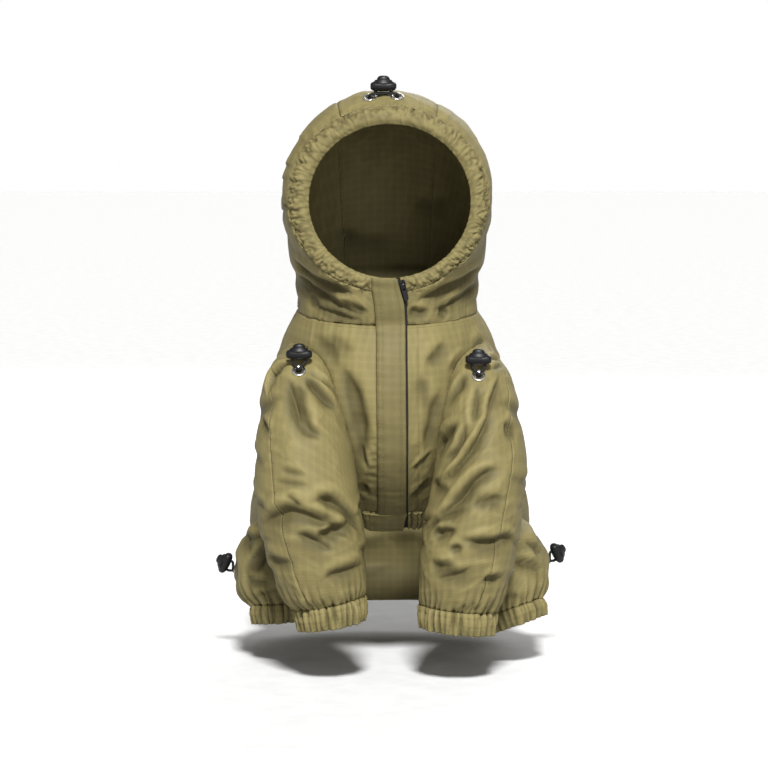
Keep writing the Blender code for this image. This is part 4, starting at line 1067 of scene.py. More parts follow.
class Closed:
    """A capped tube that says how deep in it a point is."""

    def __init__(self, tube, start, end):
        level = np.linspace(start, end, int(16 * (end - start)) + 1)
        turn = np.arange(144) / 144
        grid = tube.at(turn, level[:, None])
        rows, count = grid.shape[:2]
        last = (rows - 1) * count
        points = np.concatenate([grid.reshape(-1, 3), grid[[0, -1]].mean(axis=1)])
        faces = []
        for c in range(count):
            after = (c + 1) % count
            for r in range(0, last, count):
                faces.append((r + c, r + after, r + count + after, r + count + c))
            faces.append((len(points) - 2, after, c))
            faces.append((len(points) - 1, last + c, last + after))
        self.tree = BVHTree.FromPolygons(points.tolist(), faces)
        self.low, self.high = points.min(axis=0) - 9, points.max(axis=0) + 9
        far = Vector((0.0, -900.0, 150.0))
        place, normal, _, _ = self.tree.find_nearest(far)
        self.sign = math.copysign(1, normal.dot(far - place))

    def depth(self, points):
        """Depth inside in mm, negative outside, and the way in, at each point."""
        flat = points.reshape(-1, 3)
        found, ways = np.full(len(flat), -50.0), np.zeros((len(flat), 3))
        near = np.nonzero(np.all((flat > self.low) & (flat < self.high), axis=1))[0]
        for index in near.tolist():
            spot = Vector(flat[index])
            place, normal, _, distance = self.tree.find_nearest(spot)
            normal = normal * self.sign
            found[index] = math.copysign(distance, -(spot - place).dot(normal))
            ways[index] = -normal
        return found.reshape(points.shape[:-1]), ways.reshape(points.shape)


TORSO_SOLID = Closed(TUBES["torso"], 0.0, SEAT_LEVEL)
LIMBS = ("sleeve_right", "sleeve_left", "hind_right", "hind_left")
LIMB_TOPS = {"sleeve_right": -0.3, "sleeve_left": -0.3, "hind_right": 0.0, "hind_left": 0.0}
LIMB_SOLIDS = {name: Closed(TUBES[name], LIMB_TOPS[name] + 0.02, TUBES[name].top_level) for name in LIMBS}
SEAM_DEPTH = 1.0  # how far each sheet runs on past the other at an armhole, as a seam allowance


def limb_start(name, most):
    """The level at which each turn of a limb comes out of the torso, as a function of the turn."""
    tube = TUBES[name]
    turn, level = np.arange(120) / 120, np.linspace(LIMB_TOPS[name], most, 41)
    depth, _ = TORSO_SOLID.depth(tube.at(turn, level[:, None]))
    begin = np.full(len(turn), LIMB_TOPS[name])
    for c in range(len(turn)):
        inside = np.nonzero(depth[:, c] > SEAM_DEPTH)[0]
        if len(inside):
            r = min(inside[-1], len(level) - 2)
            share = (depth[r, c] - SEAM_DEPTH) / max(depth[r, c] - depth[r + 1, c], 1e-6)
            begin[c] = level[r] + min(share, 1) * (level[r + 1] - level[r])
    smooth = (np.roll(begin, 1) + 2 * begin + np.roll(begin, -1)) / 4
    return lambda turns: np.interp(np.mod(turns, 1.0) * 120, np.arange(121), np.append(smooth, smooth[0]))


def fit_to_limbs(panel, names):
    """Opens the armholes in a torso panel, smooth edged, and lays the cloth flat towards them."""
    for name in names:
        depth, inward = LIMB_SOLIDS[name].depth(panel.base)
        gone = depth > SEAM_DEPTH
        beside = np.zeros_like(gone)
        for rows in (-1, 0, 1):
            for columns in (-1, 0, 1):
                beside |= np.roll(np.roll(gone, rows, axis=0), columns, axis=1)
        rim = beside & ~gone & (depth > -6)
        across = np.einsum("ijk,ijk->ij", inward, panel.normal)
        way = inward - across[..., None] * panel.normal
        slope = np.maximum(np.linalg.norm(way, axis=-1), 0.25)
        move = np.clip((SEAM_DEPTH - depth) / slope, -3.0, 3.0) * rim
        panel.point = panel.point + (move / slope)[..., None] * way
        panel.keep &= ~gone
        calm = ease(np.abs(depth), 0.6, 7.0)
        panel.shift *= calm
        waves = noise_at(panel.base, 5.5, 43)
        panel.shift += 0.45 * waves * np.exp(-np.abs(depth) / 5.0) * ease(np.abs(depth), 0.3, 2.0)
        panel.shift -= 0.35 * np.exp(-((depth / 1.8) ** 2))


def armhole_edge(panel, depth):
    """Small waves beside a limb's seam, and the groove of the seam itself."""
    waves = 0.45 * noise_at(panel.base, 5.5, 43) * np.exp(-np.abs(depth) / 5.0)
    return waves - 0.3 * np.exp(-((depth / 1.8) ** 2))


def seam(panel, edge, depth=0.55, amount=0.42, reach=6.5, pitch=6.5, width=1.4):
    """A sewn edge: a groove with short uneven puckers that run out from it."""
    distance = getattr(panel, edge)
    ends = {
        "left": panel.base[:, :1], "right": panel.base[:, -1:],
        "top": panel.base[:1], "bottom": panel.base[-1:],
    }
    spots = ends[edge]
    waves = noise_at(spots, pitch, 41) + 0.7 * noise_at(spots, 0.42 * pitch, 42)
    panel.shift += amount * waves * np.exp(-distance / reach)
    panel.shift -= depth * np.exp(-((distance / width) ** 2))


def topstitched(panel, edge, inset, depth=0.22, width=0.8):
    panel.shift -= depth * np.exp(-(((getattr(panel, edge) - inset) / width) ** 2))


def edge_run(panel, edge, inset, trim=0.0):
    """Points and normals along a line at this distance from a panel's edge, split where it is cut."""
    distance = getattr(panel, edge)
    spots, normals = panel.finished(), panel.surface_normals()
    turned = edge in ("left", "right")
    if not turned:
        distance, spots, normals = distance.T, spots.transpose(1, 0, 2), normals.transpose(1, 0, 2)
    keep = panel.keep if turned else panel.keep.T
    if edge in ("right", "bottom"):
        distance, spots, normals, keep = distance[:, ::-1], spots[:, ::-1], normals[:, ::-1], keep[:, ::-1]
    runs, line = [], []
    for r in range(len(distance)):
        c = int(np.searchsorted(distance[r], inset))
        if 0 < c < distance.shape[1] and keep[r, c] and keep[r, c - 1]:
            share = (inset - distance[r, c - 1]) / max(distance[r, c] - distance[r, c - 1], 1e-6)
            spot = spots[r, c - 1] * (1 - share) + spots[r, c] * share
            line.append(np.concatenate([spot, normals[r, c]]))
        elif line:
            runs.append(np.array(line))
            line = []
    if line:
        runs.append(np.array(line))
    cut_back = []
    for run in runs:
        along = np.concatenate([[0], np.cumsum(np.linalg.norm(np.diff(run[:, :3], axis=0), axis=1))])
        inside = (along >= trim) & (along <= along[-1] - trim)
        if inside.sum() > 2:
            cut_back.append(run[inside])
    return cut_back


STITCH_LENGTH, STITCH_PITCH, STITCH_RADIUS = 2.1, 2.75, 0.2
STITCH_RINGS = ((-0.5, 0.05), (-0.42, 0.8), (0.0, 1.0), (0.42, 0.8), (0.5, 0.05))


def add_stitches(name, runs):
    """Rows of lock stitches: one short rounded thread for each, half sunk in the cloth."""
    turn = np.arange(5) / 5 * math.tau
    points, faces = [], []
    for run in runs:
        along = np.concatenate([[0], np.cumsum(np.linalg.norm(np.diff(run[:, :3], axis=0), axis=1))])
        for index, middle in enumerate(np.arange(STITCH_PITCH / 2, along[-1] - STITCH_PITCH / 2, STITCH_PITCH)):
            jitter = 0.12 * noise.noise((middle * 1.3, len(points) * 0.37, 0.2))
            ends = [
                np.array([np.interp(middle + jitter + k * STITCH_LENGTH / 2, along, run[:, axis]) for axis in range(6)])
                for k in (-1, 1)
            ]
            centre = (ends[0][:3] + ends[1][:3]) / 2
            way = ends[1][:3] - ends[0][:3]
            out = ends[0][3:] + ends[1][3:]
            way_unit = way / max(np.linalg.norm(way), 1e-9)
            out = out - out.dot(way_unit) * way_unit
            out /= max(np.linalg.norm(out), 1e-9)
            side = np.cross(way_unit, out)
            base = len(points)
            for share, wide in STITCH_RINGS:
                spot = centre + way * share + out * (0.10 - 0.5 * abs(share) ** 3)
                for a in turn:
                    points.append(spot + STITCH_RADIUS * wide * (math.cos(a) * side + math.sin(a) * out))
            for ring in range(len(STITCH_RINGS) - 1):
                for k in range(5):
                    first = base + ring * 5
                    faces.append((first + k, first + (k + 1) % 5, first + 5 + (k + 1) % 5, first + 5 + k))
    return add_piece("stitches_" + name, mesh_of(name, frame_point(points), faces), "thread")


def calm_under_flap(panel):
    height = panel.base[..., 2]
    sewn, free = edge_x(FLAP_ROWS, height, "sewn_x"), edge_x(FLAP_ROWS, height, "free_x")
    x = panel.base[..., 0]
    outside = np.maximum(np.maximum(sewn - x, x - free), 0)
    calm = np.where(panel.base[..., 1] < 0, ease(outside, 0.0, 5.0), 1.0)
    panel.shift = np.where(panel.shift > 0, panel.shift * (0.1 + 0.9 * calm), panel.shift)


def seat_eyelets(panel, names):
    """Draws the cloth up to each ring and paints shade on the cloth inside it, for the dark of the hole."""
    moved, weight = pressed_under_eyelets(panel.point, panel.normal)
    panel.shift = panel.shift * (1 - weight) + moved
    for name in names:
        pose = EYELET_POSES[name]
        centre = np.array(pose.translation) / MM + np.array([0, 0, NECK_HEIGHT])
        z = np.array(pose.col[2][:3])
        offset = panel.point - centre
        across = np.linalg.norm(offset - (offset @ z)[..., None] * z, axis=-1)
        near = (np.linalg.norm(offset, axis=-1) < 12) & (panel.normal @ z > 0.3)
        angle = np.arctan2(offset[..., 2] + 0.3 * offset[..., 1], offset[..., 0])
        waves = np.sin(angle * 7 + 2.0 * noise_line(across * 0.2, 5))
        pull = np.exp(-((across - 9.0) / 5.0) ** 2) * ease(across, 4.5, 8.0)
        wide = np.linalg.norm(offset, axis=-1) < 30
        panel.shift += np.where(wide & (panel.normal @ z > 0.2), 0.38 * waves * pull, 0.0)
        # Painted shade on the cloth inside the ring, for the hole.
        panel.shade = np.where(near, panel.shade * (0.06 + 0.94 * ease(across, 2.3, 3.2)), panel.shade)


RUNS = {}


def finish_panel(name, panel, finish="cloth", shell=SHELL):
    build_cloth(name + "_cloth", panel, (name,), finish, shell)


# Torso

BACK_STEP, FRONT_STEP, BAND_STEP = 1.95, 1.4, 0.8  # how fine each mesh is, in millimetres
half_zip = ZIP_HALF + 0.15


def torso_panel(turns, levels, step, amount):
    panel = Panel(TUBES["torso"], turns, levels, step)
    laid = CREASE_FIELDS["torso"].height(panel.base)
    panel.shift = laid.copy()
    crumple(panel, amount, 7)
    panel.shade = crease_shade(laid + panel.detail)
    calm_under_flap(panel)
    return panel


PUCKER_HEIGHTS = (444, 451, 460, 467, 474, 484, 499, 506)


def flap_puckers(panel):
    """Dimples drawn in along the storm flap's sewn edge."""
    x, z = panel.base[..., 0], panel.base[..., 2]
    inset = edge_x(FLAP_ROWS, z, "sewn_x") - x
    for index, height in enumerate(PUCKER_HEIGHTS):
        level = (DRAWING_GROUND - height) * DRAWING_SCALE + 4.0 - 0.18 * inset * (-1) ** index
        panel.shift -= 0.9 * np.exp(-(((z - level) / 1.5) ** 2)) * np.exp(-np.abs(inset - 3.0) / 4.0) * (
            panel.base[..., 1] < 0
        )


back = torso_panel((side_seam, lambda v: 1 - side_seam(v)), (0.0, SEAT_LEVEL), BACK_STEP, 0.65)
seam(back, "top", 0.4, 0.5)
seam(back, "left"), seam(back, "right")
back.shift += 0.5 * np.exp(-((back.bottom / 3.0) ** 2))
topstitched(back, "bottom", 8.0)
fit_to_limbs(back, LIMBS)
seat_eyelets(back, ())
finish_panel("back", back)
RUNS["back"] = edge_run(back, "bottom", 8.0) + edge_run(back, "top", 2.0)

for side in ("right", "left"):
    if side == "right":
        turns = (lambda v: -side_seam(v), zip_edge(TUBES["torso"], -half_zip))
        by_zip, by_side = "right", "left"
    else:
        turns = (zip_edge(TUBES["torso"], half_zip - 0.45), side_seam)
        by_zip, by_side = "left", "right"
    front = torso_panel(turns, (0.0, BAND_LEVEL), FRONT_STEP, 0.5)
    seam(front, "top", 0.4, 0.35)
    seam(front, by_side)
    seam(front, "bottom", 0.7, 0.5, 9.0, 5.0)
    if side == "right":
        flap_puckers(front)
    else:
        topstitched(front, by_zip, 8.6, 0.45, 1.0)
        front.shift += 0.28 * np.exp(-((getattr(front, by_zip) / 2.2) ** 2))
    fit_to_limbs(front, (f"sleeve_{side}",))
    seat_eyelets(front, ())
    finish_panel(f"front_{side}", front)
    RUNS[f"front_{side}"] = (
        edge_run(front, "top", 2.2)
        + edge_run(front, "bottom", 2.0)
        + (edge_run(front, by_zip, 7.7) if side == "left" else [])
    )
    band = torso_panel(turns, (BAND_LEVEL, HEM_LEVEL), BAND_STEP, 0.2)
    pleats = gathers(band.left[-1:] / 4.3 + 0.25 * noise_line(band.top / 6.0, 3), 5)
    band.shift = 0.25 * band.shift + 1.2 * pleats + 0.6
    band.shade = crease_shade(2.0 * pleats - 0.2, 0.6)
    calm_under_flap(band)
    for inset in (3.4, 8.2):
        topstitched(band, "top", inset, 0.4, 0.8)
    fit_to_limbs(band, (f"hind_{side}",))
    finish_panel(f"belly_band_{side}", band, finish="gathered")
    RUNS[f"belly_band_{side}"] = edge_run(band, "top", 3.4) + edge_run(band, "top", 8.2)


# Hood

RIM_PLEATS = 78  # about the opening


for name, turns in (
    ("hood_right", (CROWN_TURNS[1] - 1, zip_edge(TUBES["hood"], -half_zip))),
    ("hood_left", (zip_edge(TUBES["hood"], half_zip), CROWN_TURNS[0])),
    ("hood_center", CROWN_TURNS),
):
    panel = Panel(TUBES["hood"], turns, (0.0, 8.0), 1.5)
    laid = CREASE_FIELDS["hood"].height(panel.base)
    panel.shift = laid.copy()
    ring = np.mod(panel.turn, 1.0) * RIM_PLEATS
    puckers = billow(0.5 * ring, panel.bottom / 15.0, 19) - 0.6
    crinkles = billow(1.75 * ring, -panel.bottom / 6.0, 25) - 0.55
    near_rim = 1.7 * puckers * np.exp(-panel.bottom / 8.0) + 1.1 * crinkles * np.exp(-panel.bottom / 2.4)
    crumple(panel, 0.55, 17)
    panel.shift += near_rim
    panel.shade = crease_shade(laid + panel.detail + near_rim)
    calm_under_flap(panel)
    seam(panel, "top", 0.45, 0.75, 10.0)
    seam(panel, "bottom", 0.12, 0.4, 5.0, 3.4)
    if name != "hood_left":
        seam(panel, "left", 0.65, 0.35)
    if name != "hood_right":
        seam(panel, "right", 0.65, 0.35)
    if name == "hood_right":
        seam(panel, "left", 0.0, 0.0)
    seat_eyelets(panel, ("crown_left", "crown_right"))
    finish_panel(name, panel)
    rows = edge_run(panel, "bottom", 1.7) + edge_run(panel, "top", 2.0)
    if name == "hood_center":
        rows += edge_run(panel, "left", 1.8) + edge_run(panel, "right", 1.8)
    RUNS[name] = rows

start, end = zip_edge(TUBES["casing"], half_zip), zip_edge(TUBES["casing"], -half_zip)
casing = Panel(TUBES["casing"], (start, lambda v: end(v) + 1), (0.0, 3.0), 0.78)
across = casing.top / casing.top[-1:]
ring = np.mod(casing.turn, 1.0) * RIM_PLEATS
folds = billow(1.05 * ring + 0.9 * across, across * 1.3, 23) - 0.6
fine = billow(1.75 * ring, across * 2.8, 25) - 0.55
band = np.sin(math.pi * np.clip(across, 0, 1)) ** 0.6
drawn_in = 0.35 + 0.75 * np.exp(-(((across - 0.25) / 0.33) ** 2))
casing.shift = 0.4 * band + (1.4 * folds + 1.5 * fine) * drawn_in
casing.shade = crease_shade(2.2 * (folds + fine) * drawn_in - 0.2, 0.5)
seam(casing, "top", 0.12, 0.4, 4.0, 3.4, 0.9)
calm_under_flap(casing)
seat_eyelets(casing, ("crown_left", "crown_right"))
finish_panel("hood_casing", casing, finish="gathered")
RUNS["hood_casing"] = edge_run(casing, "top", 1.5)


# Limbs

def pleats_of(panel, count, seed, along=0.0):
    """Gathers over elastic, in turns so that a limb and its cuff share them."""
    turn = np.mod(panel.turn, 1.0)
    even = gathers(turn * count + 0.35 * noise_line(turn * count * 0.13, seed), seed)
    return 0.85 * even + 1.0 * (billow(turn * count * 1.15, along, seed + 3) - 0.6)


def fading_pleats(panel, reach, seed):
    """How the gathers die out above a cuff: some run much further than others."""
    turn = np.mod(panel.turn, 1.0)
    run = reach * (1 + 0.55 * noise_line(turn * 13.0, seed) + 0.3 * noise_line(turn * 29.0, seed + 1))
    return np.exp(-((panel.bottom / np.maximum(run, 5.0)) ** 1.3))


for side in ("right", "left"):
    tube_name = f"sleeve_{side}"
    tube = TUBES[tube_name]
    begin = limb_start(tube_name, 4.5)
    for name, turns in (
        (f"{tube_name}_front", (INNER_SEAM_TURN - 1, sleeve_seam)),
        (f"{tube_name}_outer", (sleeve_seam, INNER_SEAM_TURN)),
    ):
        panel = Panel(tube, turns, (LIMB_TOPS[tube_name], tube.top_level), 1.3, begin)
        laid = CREASE_FIELDS[tube_name].height(panel.base)
        panel.shift = laid.copy()
        crumple(panel, 0.62, 27 if side == "right" else 29, 19.0, (0.8, 0.1, -0.4 if side == "right" else 0.4))
        near_cuff = fading_pleats(panel, 13.0, 31)
        folds = pleats_of(panel, 30, 31, panel.bottom / 22.0)
        panel.shift = panel.shift * (1 - 0.6 * near_cuff) + 1.9 * near_cuff * folds
        panel.shade = crease_shade((laid + panel.detail) * (1 - near_cuff) + 2.1 * near_cuff * folds)
        seam(panel, "left", 0.2, 0.3, width=1.0), seam(panel, "right", 0.2, 0.3, width=1.0)
        seam(panel, "bottom", 0.7, 0.1, 4.0)
        depth, _ = TORSO_SOLID.depth(panel.base)
        panel.shift *= ease(-depth, 0.0, 6.0)
        panel.shift += armhole_edge(panel, depth)
        seat_eyelets(panel, (f"shoulder_{side}",))
        finish_panel(name, panel)
        RUNS[name] = edge_run(panel, "top", 3.2) + (
            edge_run(panel, "right", 1.6, 4.0) if name.endswith("front") else []
        )
    cuff_name = f"sleeve_cuff_{side}"
    cuff = Panel(TUBES[cuff_name], (0.0, 1.0), (0.0, 2.0), 0.88)
    folds = pleats_of(cuff, 30, 31, -cuff.top / 22.0)
    cuff.shift = 1.9 * folds + 0.4 * noise_at(cuff.base, 8.0, 33) + 0.6
    cuff.shade = crease_shade(2.0 * folds - 0.3, 0.6)
    for inset in (4.2, 9.6):
        topstitched(cuff, "top", inset, 0.35, 0.8)
    seam(cuff, "top", 0.7, 0.1)
    finish_panel(cuff_name, cuff, finish="gathered")
    RUNS[cuff_name] = edge_run(cuff, "top", 4.2) + edge_run(cuff, "top", 9.6)

    tube_name = f"hind_{side}"
    tube = TUBES[tube_name]
    leg = Panel(tube, (0.0, 1.0), (0.0, tube.top_level), 1.4, limb_start(tube_name, 5.2))
    laid = CREASE_FIELDS[tube_name].height(leg.base)
    leg.shift = laid.copy()
    crumple(leg, 0.62, 37, 19.0, (0.5, 0.6, 0.3))
    near_cuff = fading_pleats(leg, 14.0, 39)
    folds = pleats_of(leg, 28, 39, leg.bottom / 22.0)
    leg.shift = leg.shift * (1 - 0.6 * near_cuff) + 1.9 * near_cuff * folds
    # The hind legs are painted 8 % darker all over: painted shade for the sleeves' shadow on them.
    leg.shade = 0.92 * crease_shade((laid + leg.detail) * (1 - near_cuff) + 2.1 * near_cuff * folds)
    seam(leg, "bottom", 0.5, 0.2)
    depth, _ = TORSO_SOLID.depth(leg.base)
    leg.shift *= ease(-depth, 0.0, 6.0)
    leg.shift += armhole_edge(leg, depth)
    seat_eyelets(leg, (f"hip_{side}",))
    finish_panel(f"hind_leg_{side}", leg)
    RUNS[f"hind_leg_{side}"] = edge_run(leg, "top", 3.2)
    cuff_name = f"hind_cuff_{side}"
    cuff = Panel(TUBES[cuff_name], (0.0, 1.0), (0.0, 2.0), 0.88)
    folds = pleats_of(cuff, 28, 39, -cuff.top / 22.0)
    cuff.shift = 1.8 * folds + 0.4 * noise_at(cuff.base, 8.0, 33) + 0.5
    cuff.shade = crease_shade(2.0 * folds - 0.3, 0.6)
    for inset in (3.4, 8.0):
        topstitched(cuff, "top", inset, 0.35, 0.8)
    seam(cuff, "top", 0.7, 0.1)
    finish_panel(cuff_name, cuff, finish="gathered")
    RUNS[cuff_name] = edge_run(cuff, "top", 3.4) + edge_run(cuff, "top", 8.0)


# Storm flap, tab and zip

def stations_between(tube, start, stop, count):
    return [(TUBES[tube], level) for level in np.linspace(start, stop, count)]


def station_grid(stations, edges, lift, cells, run_up=0.0):
    grid = []
    for tube, level in stations:
        left, right = edges(tube.at(0.0, np.array(level))[2])
        xs = np.linspace(left, right, cells + 1)
        levels = np.full(xs.shape, level)
        turns = tube.turn_at_x(xs, levels)
        grid.append(tube.at(turns, levels) + lift * tube.normals(turns, levels))
    if run_up:
        ahead = grid[0] - grid[1]
        grid.insert(0, grid[0] + run_up * ahead / np.linalg.norm(ahead, axis=-1, keepdims=True))
    return np.array(grid)


class StripPanel(Panel):
    """A panel over a coarse grid of points, made smooth."""

    def __init__(self, grid, step):
        rows, columns = grid.shape[:2]
        length = np.linalg.norm(np.diff(grid[:, columns // 2], axis=0), axis=-1)
        run = np.concatenate([[0], np.cumsum(length)])
        down = np.interp(np.linspace(0, run[-1], int(run[-1] / step) + 2), run, np.arange(rows))
        breadth = np.linalg.norm(grid[:, -1] - grid[:, 0], axis=-1).max()
        across = np.linspace(0, columns - 1, int(breadth / step) + 2)
        fine = np.stack([
            np.stack([blend_rows(grid[:, c, k], down) for c in range(columns)], axis=1)
            for k in range(3)
        ], axis=-1)
        fine = np.stack([
            np.stack([blend_rows(fine[r, :, k], across) for r in range(len(down))])
            for k in range(3)
        ], axis=-1)
        normal = np.cross(np.gradient(fine, axis=1), np.gradient(fine, axis=0))
        normal /= np.linalg.norm(normal, axis=-1, keepdims=True)
        if normal[..., 1].mean() > 0:
            normal = -normal
        self.base, self.normal = fine, normal
        self.point = fine + BASE_LIFT * normal
        along = np.linalg.norm(np.diff(fine, axis=1), axis=-1)
        downs = np.linalg.norm(np.diff(fine, axis=0), axis=-1)
        self.left = np.concatenate([np.zeros((len(fine), 1)), np.cumsum(along, axis=1)], axis=1)
        self.right = self.left[:, -1:] - self.left
        self.top = np.concatenate([np.zeros((1, fine.shape[1])), np.cumsum(downs, axis=0)], axis=0)
        self.bottom = self.top[-1:] - self.top
        self.uv = np.stack([self.left, self.top], axis=-1) * MM
        self.shift = np.zeros(fine.shape[:2])
        self.shade = np.ones(fine.shape[:2])
        self.keep = np.ones(fine.shape[:2], bool)
        self.closed = False


FLAP_LIFT = 2.0
over = (
    stations_between("casing", 2.0, 0.8, 2)
    + stations_between("hood", 3.5, 0.5, 3)
    + stations_between("torso", 0.15, BAND_LEVEL, 11)
)


def edges_of(rows):
    return lambda height: (edge_x(rows, height, "sewn_x"), edge_x(rows, height, "free_x"))


def dress_flap(panel, seed, tone):
    z = panel.base[..., 2]
    panel.shift = 0.28 * noise_at(panel.base, 16.0, seed) + 0.12 * noise_at(panel.base, 6.0, seed + 1)
    panel.shift += 0.42 * noise_at(panel.base[:, :1], 4.2, 41) * np.exp(-panel.left / 7.0)
    panel.shift += 0.22 * noise_at(panel.base[:, -1:], 9.0, 45) * np.exp(-panel.right / 4.0)
    panel.shift -= 1.15 * np.exp(-((panel.left / 1.1) ** 2))
    panel.shift -= 0.30 * np.exp(-((panel.right / 0.7) ** 2))
    panel.shift += 0.55 * np.exp(-(((z - 249) / 2.4) ** 2)) - 0.30 * np.exp(-(((z - 243.5) / 2.0) ** 2))
    for inset in (1.9, 4.3):
        topstitched(panel, "left", inset, 0.30, 0.7)
    topstitched(panel, "right", 3.4, 0.32, 0.7)
    # tone scales the strip's painted crease shade; below 1 it paints the whole strip darker, as painted shade.
    panel.shade = tone * crease_shade(panel.shift, 0.3)


flap = StripPanel(station_grid(over, edges_of(FLAP_ROWS), FLAP_LIFT, 4, 2.0), 0.85)
# The storm flap is painted at 0.80 of its colour: painted shade over the flap.
dress_flap(flap, 51, 0.80)
flap.shift -= 0.5 * np.exp(-((flap.top / 1.0) ** 2))
finish_panel("storm_flap", flap, shell=1.15)
RUNS["storm_flap"] = (
    edge_run(flap, "left", 1.9) + edge_run(flap, "left", 4.3) + edge_run(flap, "right", 3.4, 3.0)
)
tab = StripPanel(
    station_grid(stations_between("torso", BAND_LEVEL, HEM_LEVEL, 3), edges_of(TAB_ROWS), FLAP_LIFT, 3), 0.85
)
dress_flap(tab, 57, 1.0)
tab.shift += 0.2 * np.exp(-((tab.top / 2.0) ** 2)) + 0.35 * np.exp(-((tab.bottom / 2.0) ** 2))
finish_panel("belly_tab", tab, shell=1.15)
RUNS["belly_tab"] = (
    edge_run(tab, "bottom", 2.0, 1.0) + edge_run(tab, "right", 2.2, 1.0) + edge_run(tab, "left", 2.2, 1.0)
)


def chain_edges(height):
    middle = edge_x(FLAP_ROWS, height, "free_x") + ZIP_OFFSET
    return middle - ZIP_HALF, middle + ZIP_HALF


down = (
    stations_between("casing", 2.8, 0.3, 4)
    + stations_between("hood", 8.0, 0.0, 6)[1:-1]
    + stations_between("torso", 0.0, HEM_LEVEL, 12)
)
chain = StripPanel(station_grid(down, chain_edges, 0.0, 2), 0.6)
TOOTH_PITCH, TOOTH_RADIUS = 1.25, 0.40
TAPE_FACES = (-0.45, -0.85)


def capsule(points, faces, start, end, radius, sides=8):
    """A rounded rod between two points, added to the lists."""
    way = end - start
    length = np.linalg.norm(way)
    way = way / length
    side = np.cross(way, [0.31, 0.77, 0.55])
    side /= np.linalg.norm(side)
    up = np.cross(way, side)
    rings = [(0.0, 0.05), (0.28 * radius, 0.72), (radius, 1.0)]
    rings += [(length - place, wide) for place, wide in reversed(rings)]
    base = len(points)
    for place, wide in rings:
        for k in range(sides):
            a = math.tau * k / sides
            points.append(start + way * place + radius * wide * (math.cos(a) * side + math.sin(a) * up))
    for ring in range(len(rings) - 1):
        for k in range(sides):
            first = base + ring * sides
            faces.append((first + k, first + (k + 1) % sides, first + sides + (k + 1) % sides, first + sides + k))


def slab(points, faces, front, rear):
    """A closed strip between two grids of points, added to the lists."""
    base, (rows, columns) = len(points), front.shape[:2]
    points += [*front.reshape(-1, 3), *rear.reshape(-1, 3)]
    grid = base + np.arange(2 * rows * columns).reshape(2, rows, columns)
    for k, (a, b, c, d) in enumerate((
        (layer[:-1, :-1], layer[:-1, 1:], layer[1:, 1:], layer[1:, :-1]) for layer in grid
    )):
        quads = np.stack([a, b, c, d], axis=-1).reshape(-1, 4)
        faces += (quads if k else quads[:, ::-1]).tolist()
    rim = [(r, 0) for r in range(rows)] + [(rows - 1, c) for c in range(1, columns)]
    rim += [(r, columns - 1) for r in range(rows - 2, -1, -1)] + [(0, c) for c in range(columns - 2, 0, -1)]
    for here, there in zip(rim, rim[1:] + rim[:1]):
        faces.append(tuple(int(grid[spot]) for spot in ((0, *here), (0, *there), (1, *there), (1, *here))))


def build_chain():
    middle = chain.base.shape[1] // 2
    line, out = chain.base[:, middle], chain.normal[:, middle]
    along = chain.top[:, middle]
    points, faces = [], []
    for index, place in enumerate(np.arange(1.0, along[-1] - 1.0, TOOTH_PITCH / 2)):
        spot = np.array([np.interp(place, along, line[:, k]) for k in range(3)])
        ahead = np.array([np.interp(place + 1.0, along, line[:, k]) for k in range(3)]) - spot
        normal = np.array([np.interp(place, along, out[:, k]) for k in range(3)])
        side = np.cross(ahead / np.linalg.norm(ahead), normal) * (1 if index % 2 else -1)
        rise = spot + 0.12 * normal
        capsule(points, faces, rise - 0.35 * side, rise + 1.15 * side, TOOTH_RADIUS)
    ripple = 0.1 * noise_at(chain.base, 2.0, 61)
    slab(points, faces, *(chain.base + (ripple + depth)[..., None] * chain.normal for depth in TAPE_FACES))
    made = add_piece("zip_chain", mesh_of("zip_chain", frame_point(points), faces), "zip")
    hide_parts("zip_tape")
    return made


build_chain()


# Hardware

def revolved(profile, steps, squash=1.0, axis="Z"):
    """Quads turned from (radius, height) points, squashed in Y; millimetres, in its own frame."""
    turn = np.arange(steps) / steps * math.tau
    profile = np.array([(max(r, 0.004), h) for r, h in profile])
    grid = np.stack([
        profile[:, :1] * np.cos(turn), profile[:, :1] * np.sin(turn) * squash,
        np.repeat(profile[:, 1:], steps, axis=1),
    ], axis=-1)
    if axis == "X":
        grid = np.stack([grid[..., 2], grid[..., 1], -grid[..., 0]], axis=-1)
    rows = len(profile)
    faces = [
        (r * steps + c, r * steps + (c + 1) % steps, (r + 1) * steps + (c + 1) % steps, (r + 1) * steps + c)
        for r in range(rows - 1) for c in range(steps)
    ]
    return grid.reshape(-1, 3), faces


def made_solid(name, points, faces):
    """A mesh in metres with its ends welded and its faces turned out."""
    mesh = mesh_of(name, np.asarray(points) * MM, faces)
    shape = bmesh.new()
    shape.from_mesh(mesh)
    bmesh.ops.remove_doubles(shape, verts=shape.verts, dist=1e-5)
    bmesh.ops.recalc_face_normals(shape, faces=shape.faces)
    shape.to_mesh(mesh)
    shape.free()
    mesh.polygons.foreach_set("use_smooth", np.ones(len(mesh.polygons), bool))
    return mesh


def joined(name, parts, pose):
    """One mesh from several (points, faces), placed by a pose."""
    points, faces, base = [], [], 0
    for spots, quads in parts:
        points.append(spots)
        faces += [tuple(base + k for k in quad) for quad in quads]
        base += len(spots)
    mesh = made_solid(name, np.concatenate(points), faces)
    mesh.transform(pose)
    return mesh


def bar_profile(count=28):
    half, radius = LOCK_LENGTH / 2, LOCK_HEIGHT / 2
    angles = np.linspace(0, math.pi, count)
    ends = np.sign(np.cos(angles)) * np.abs(np.cos(angles)) ** 0.85 * half
    rounds = np.sin(angles) ** 0.5 * radius
    rounds[[0, -1]] = 0.0
    parting = 1 - 0.035 * np.exp(-((ends / 0.22) ** 2))
    return list(zip(rounds * parting, ends))


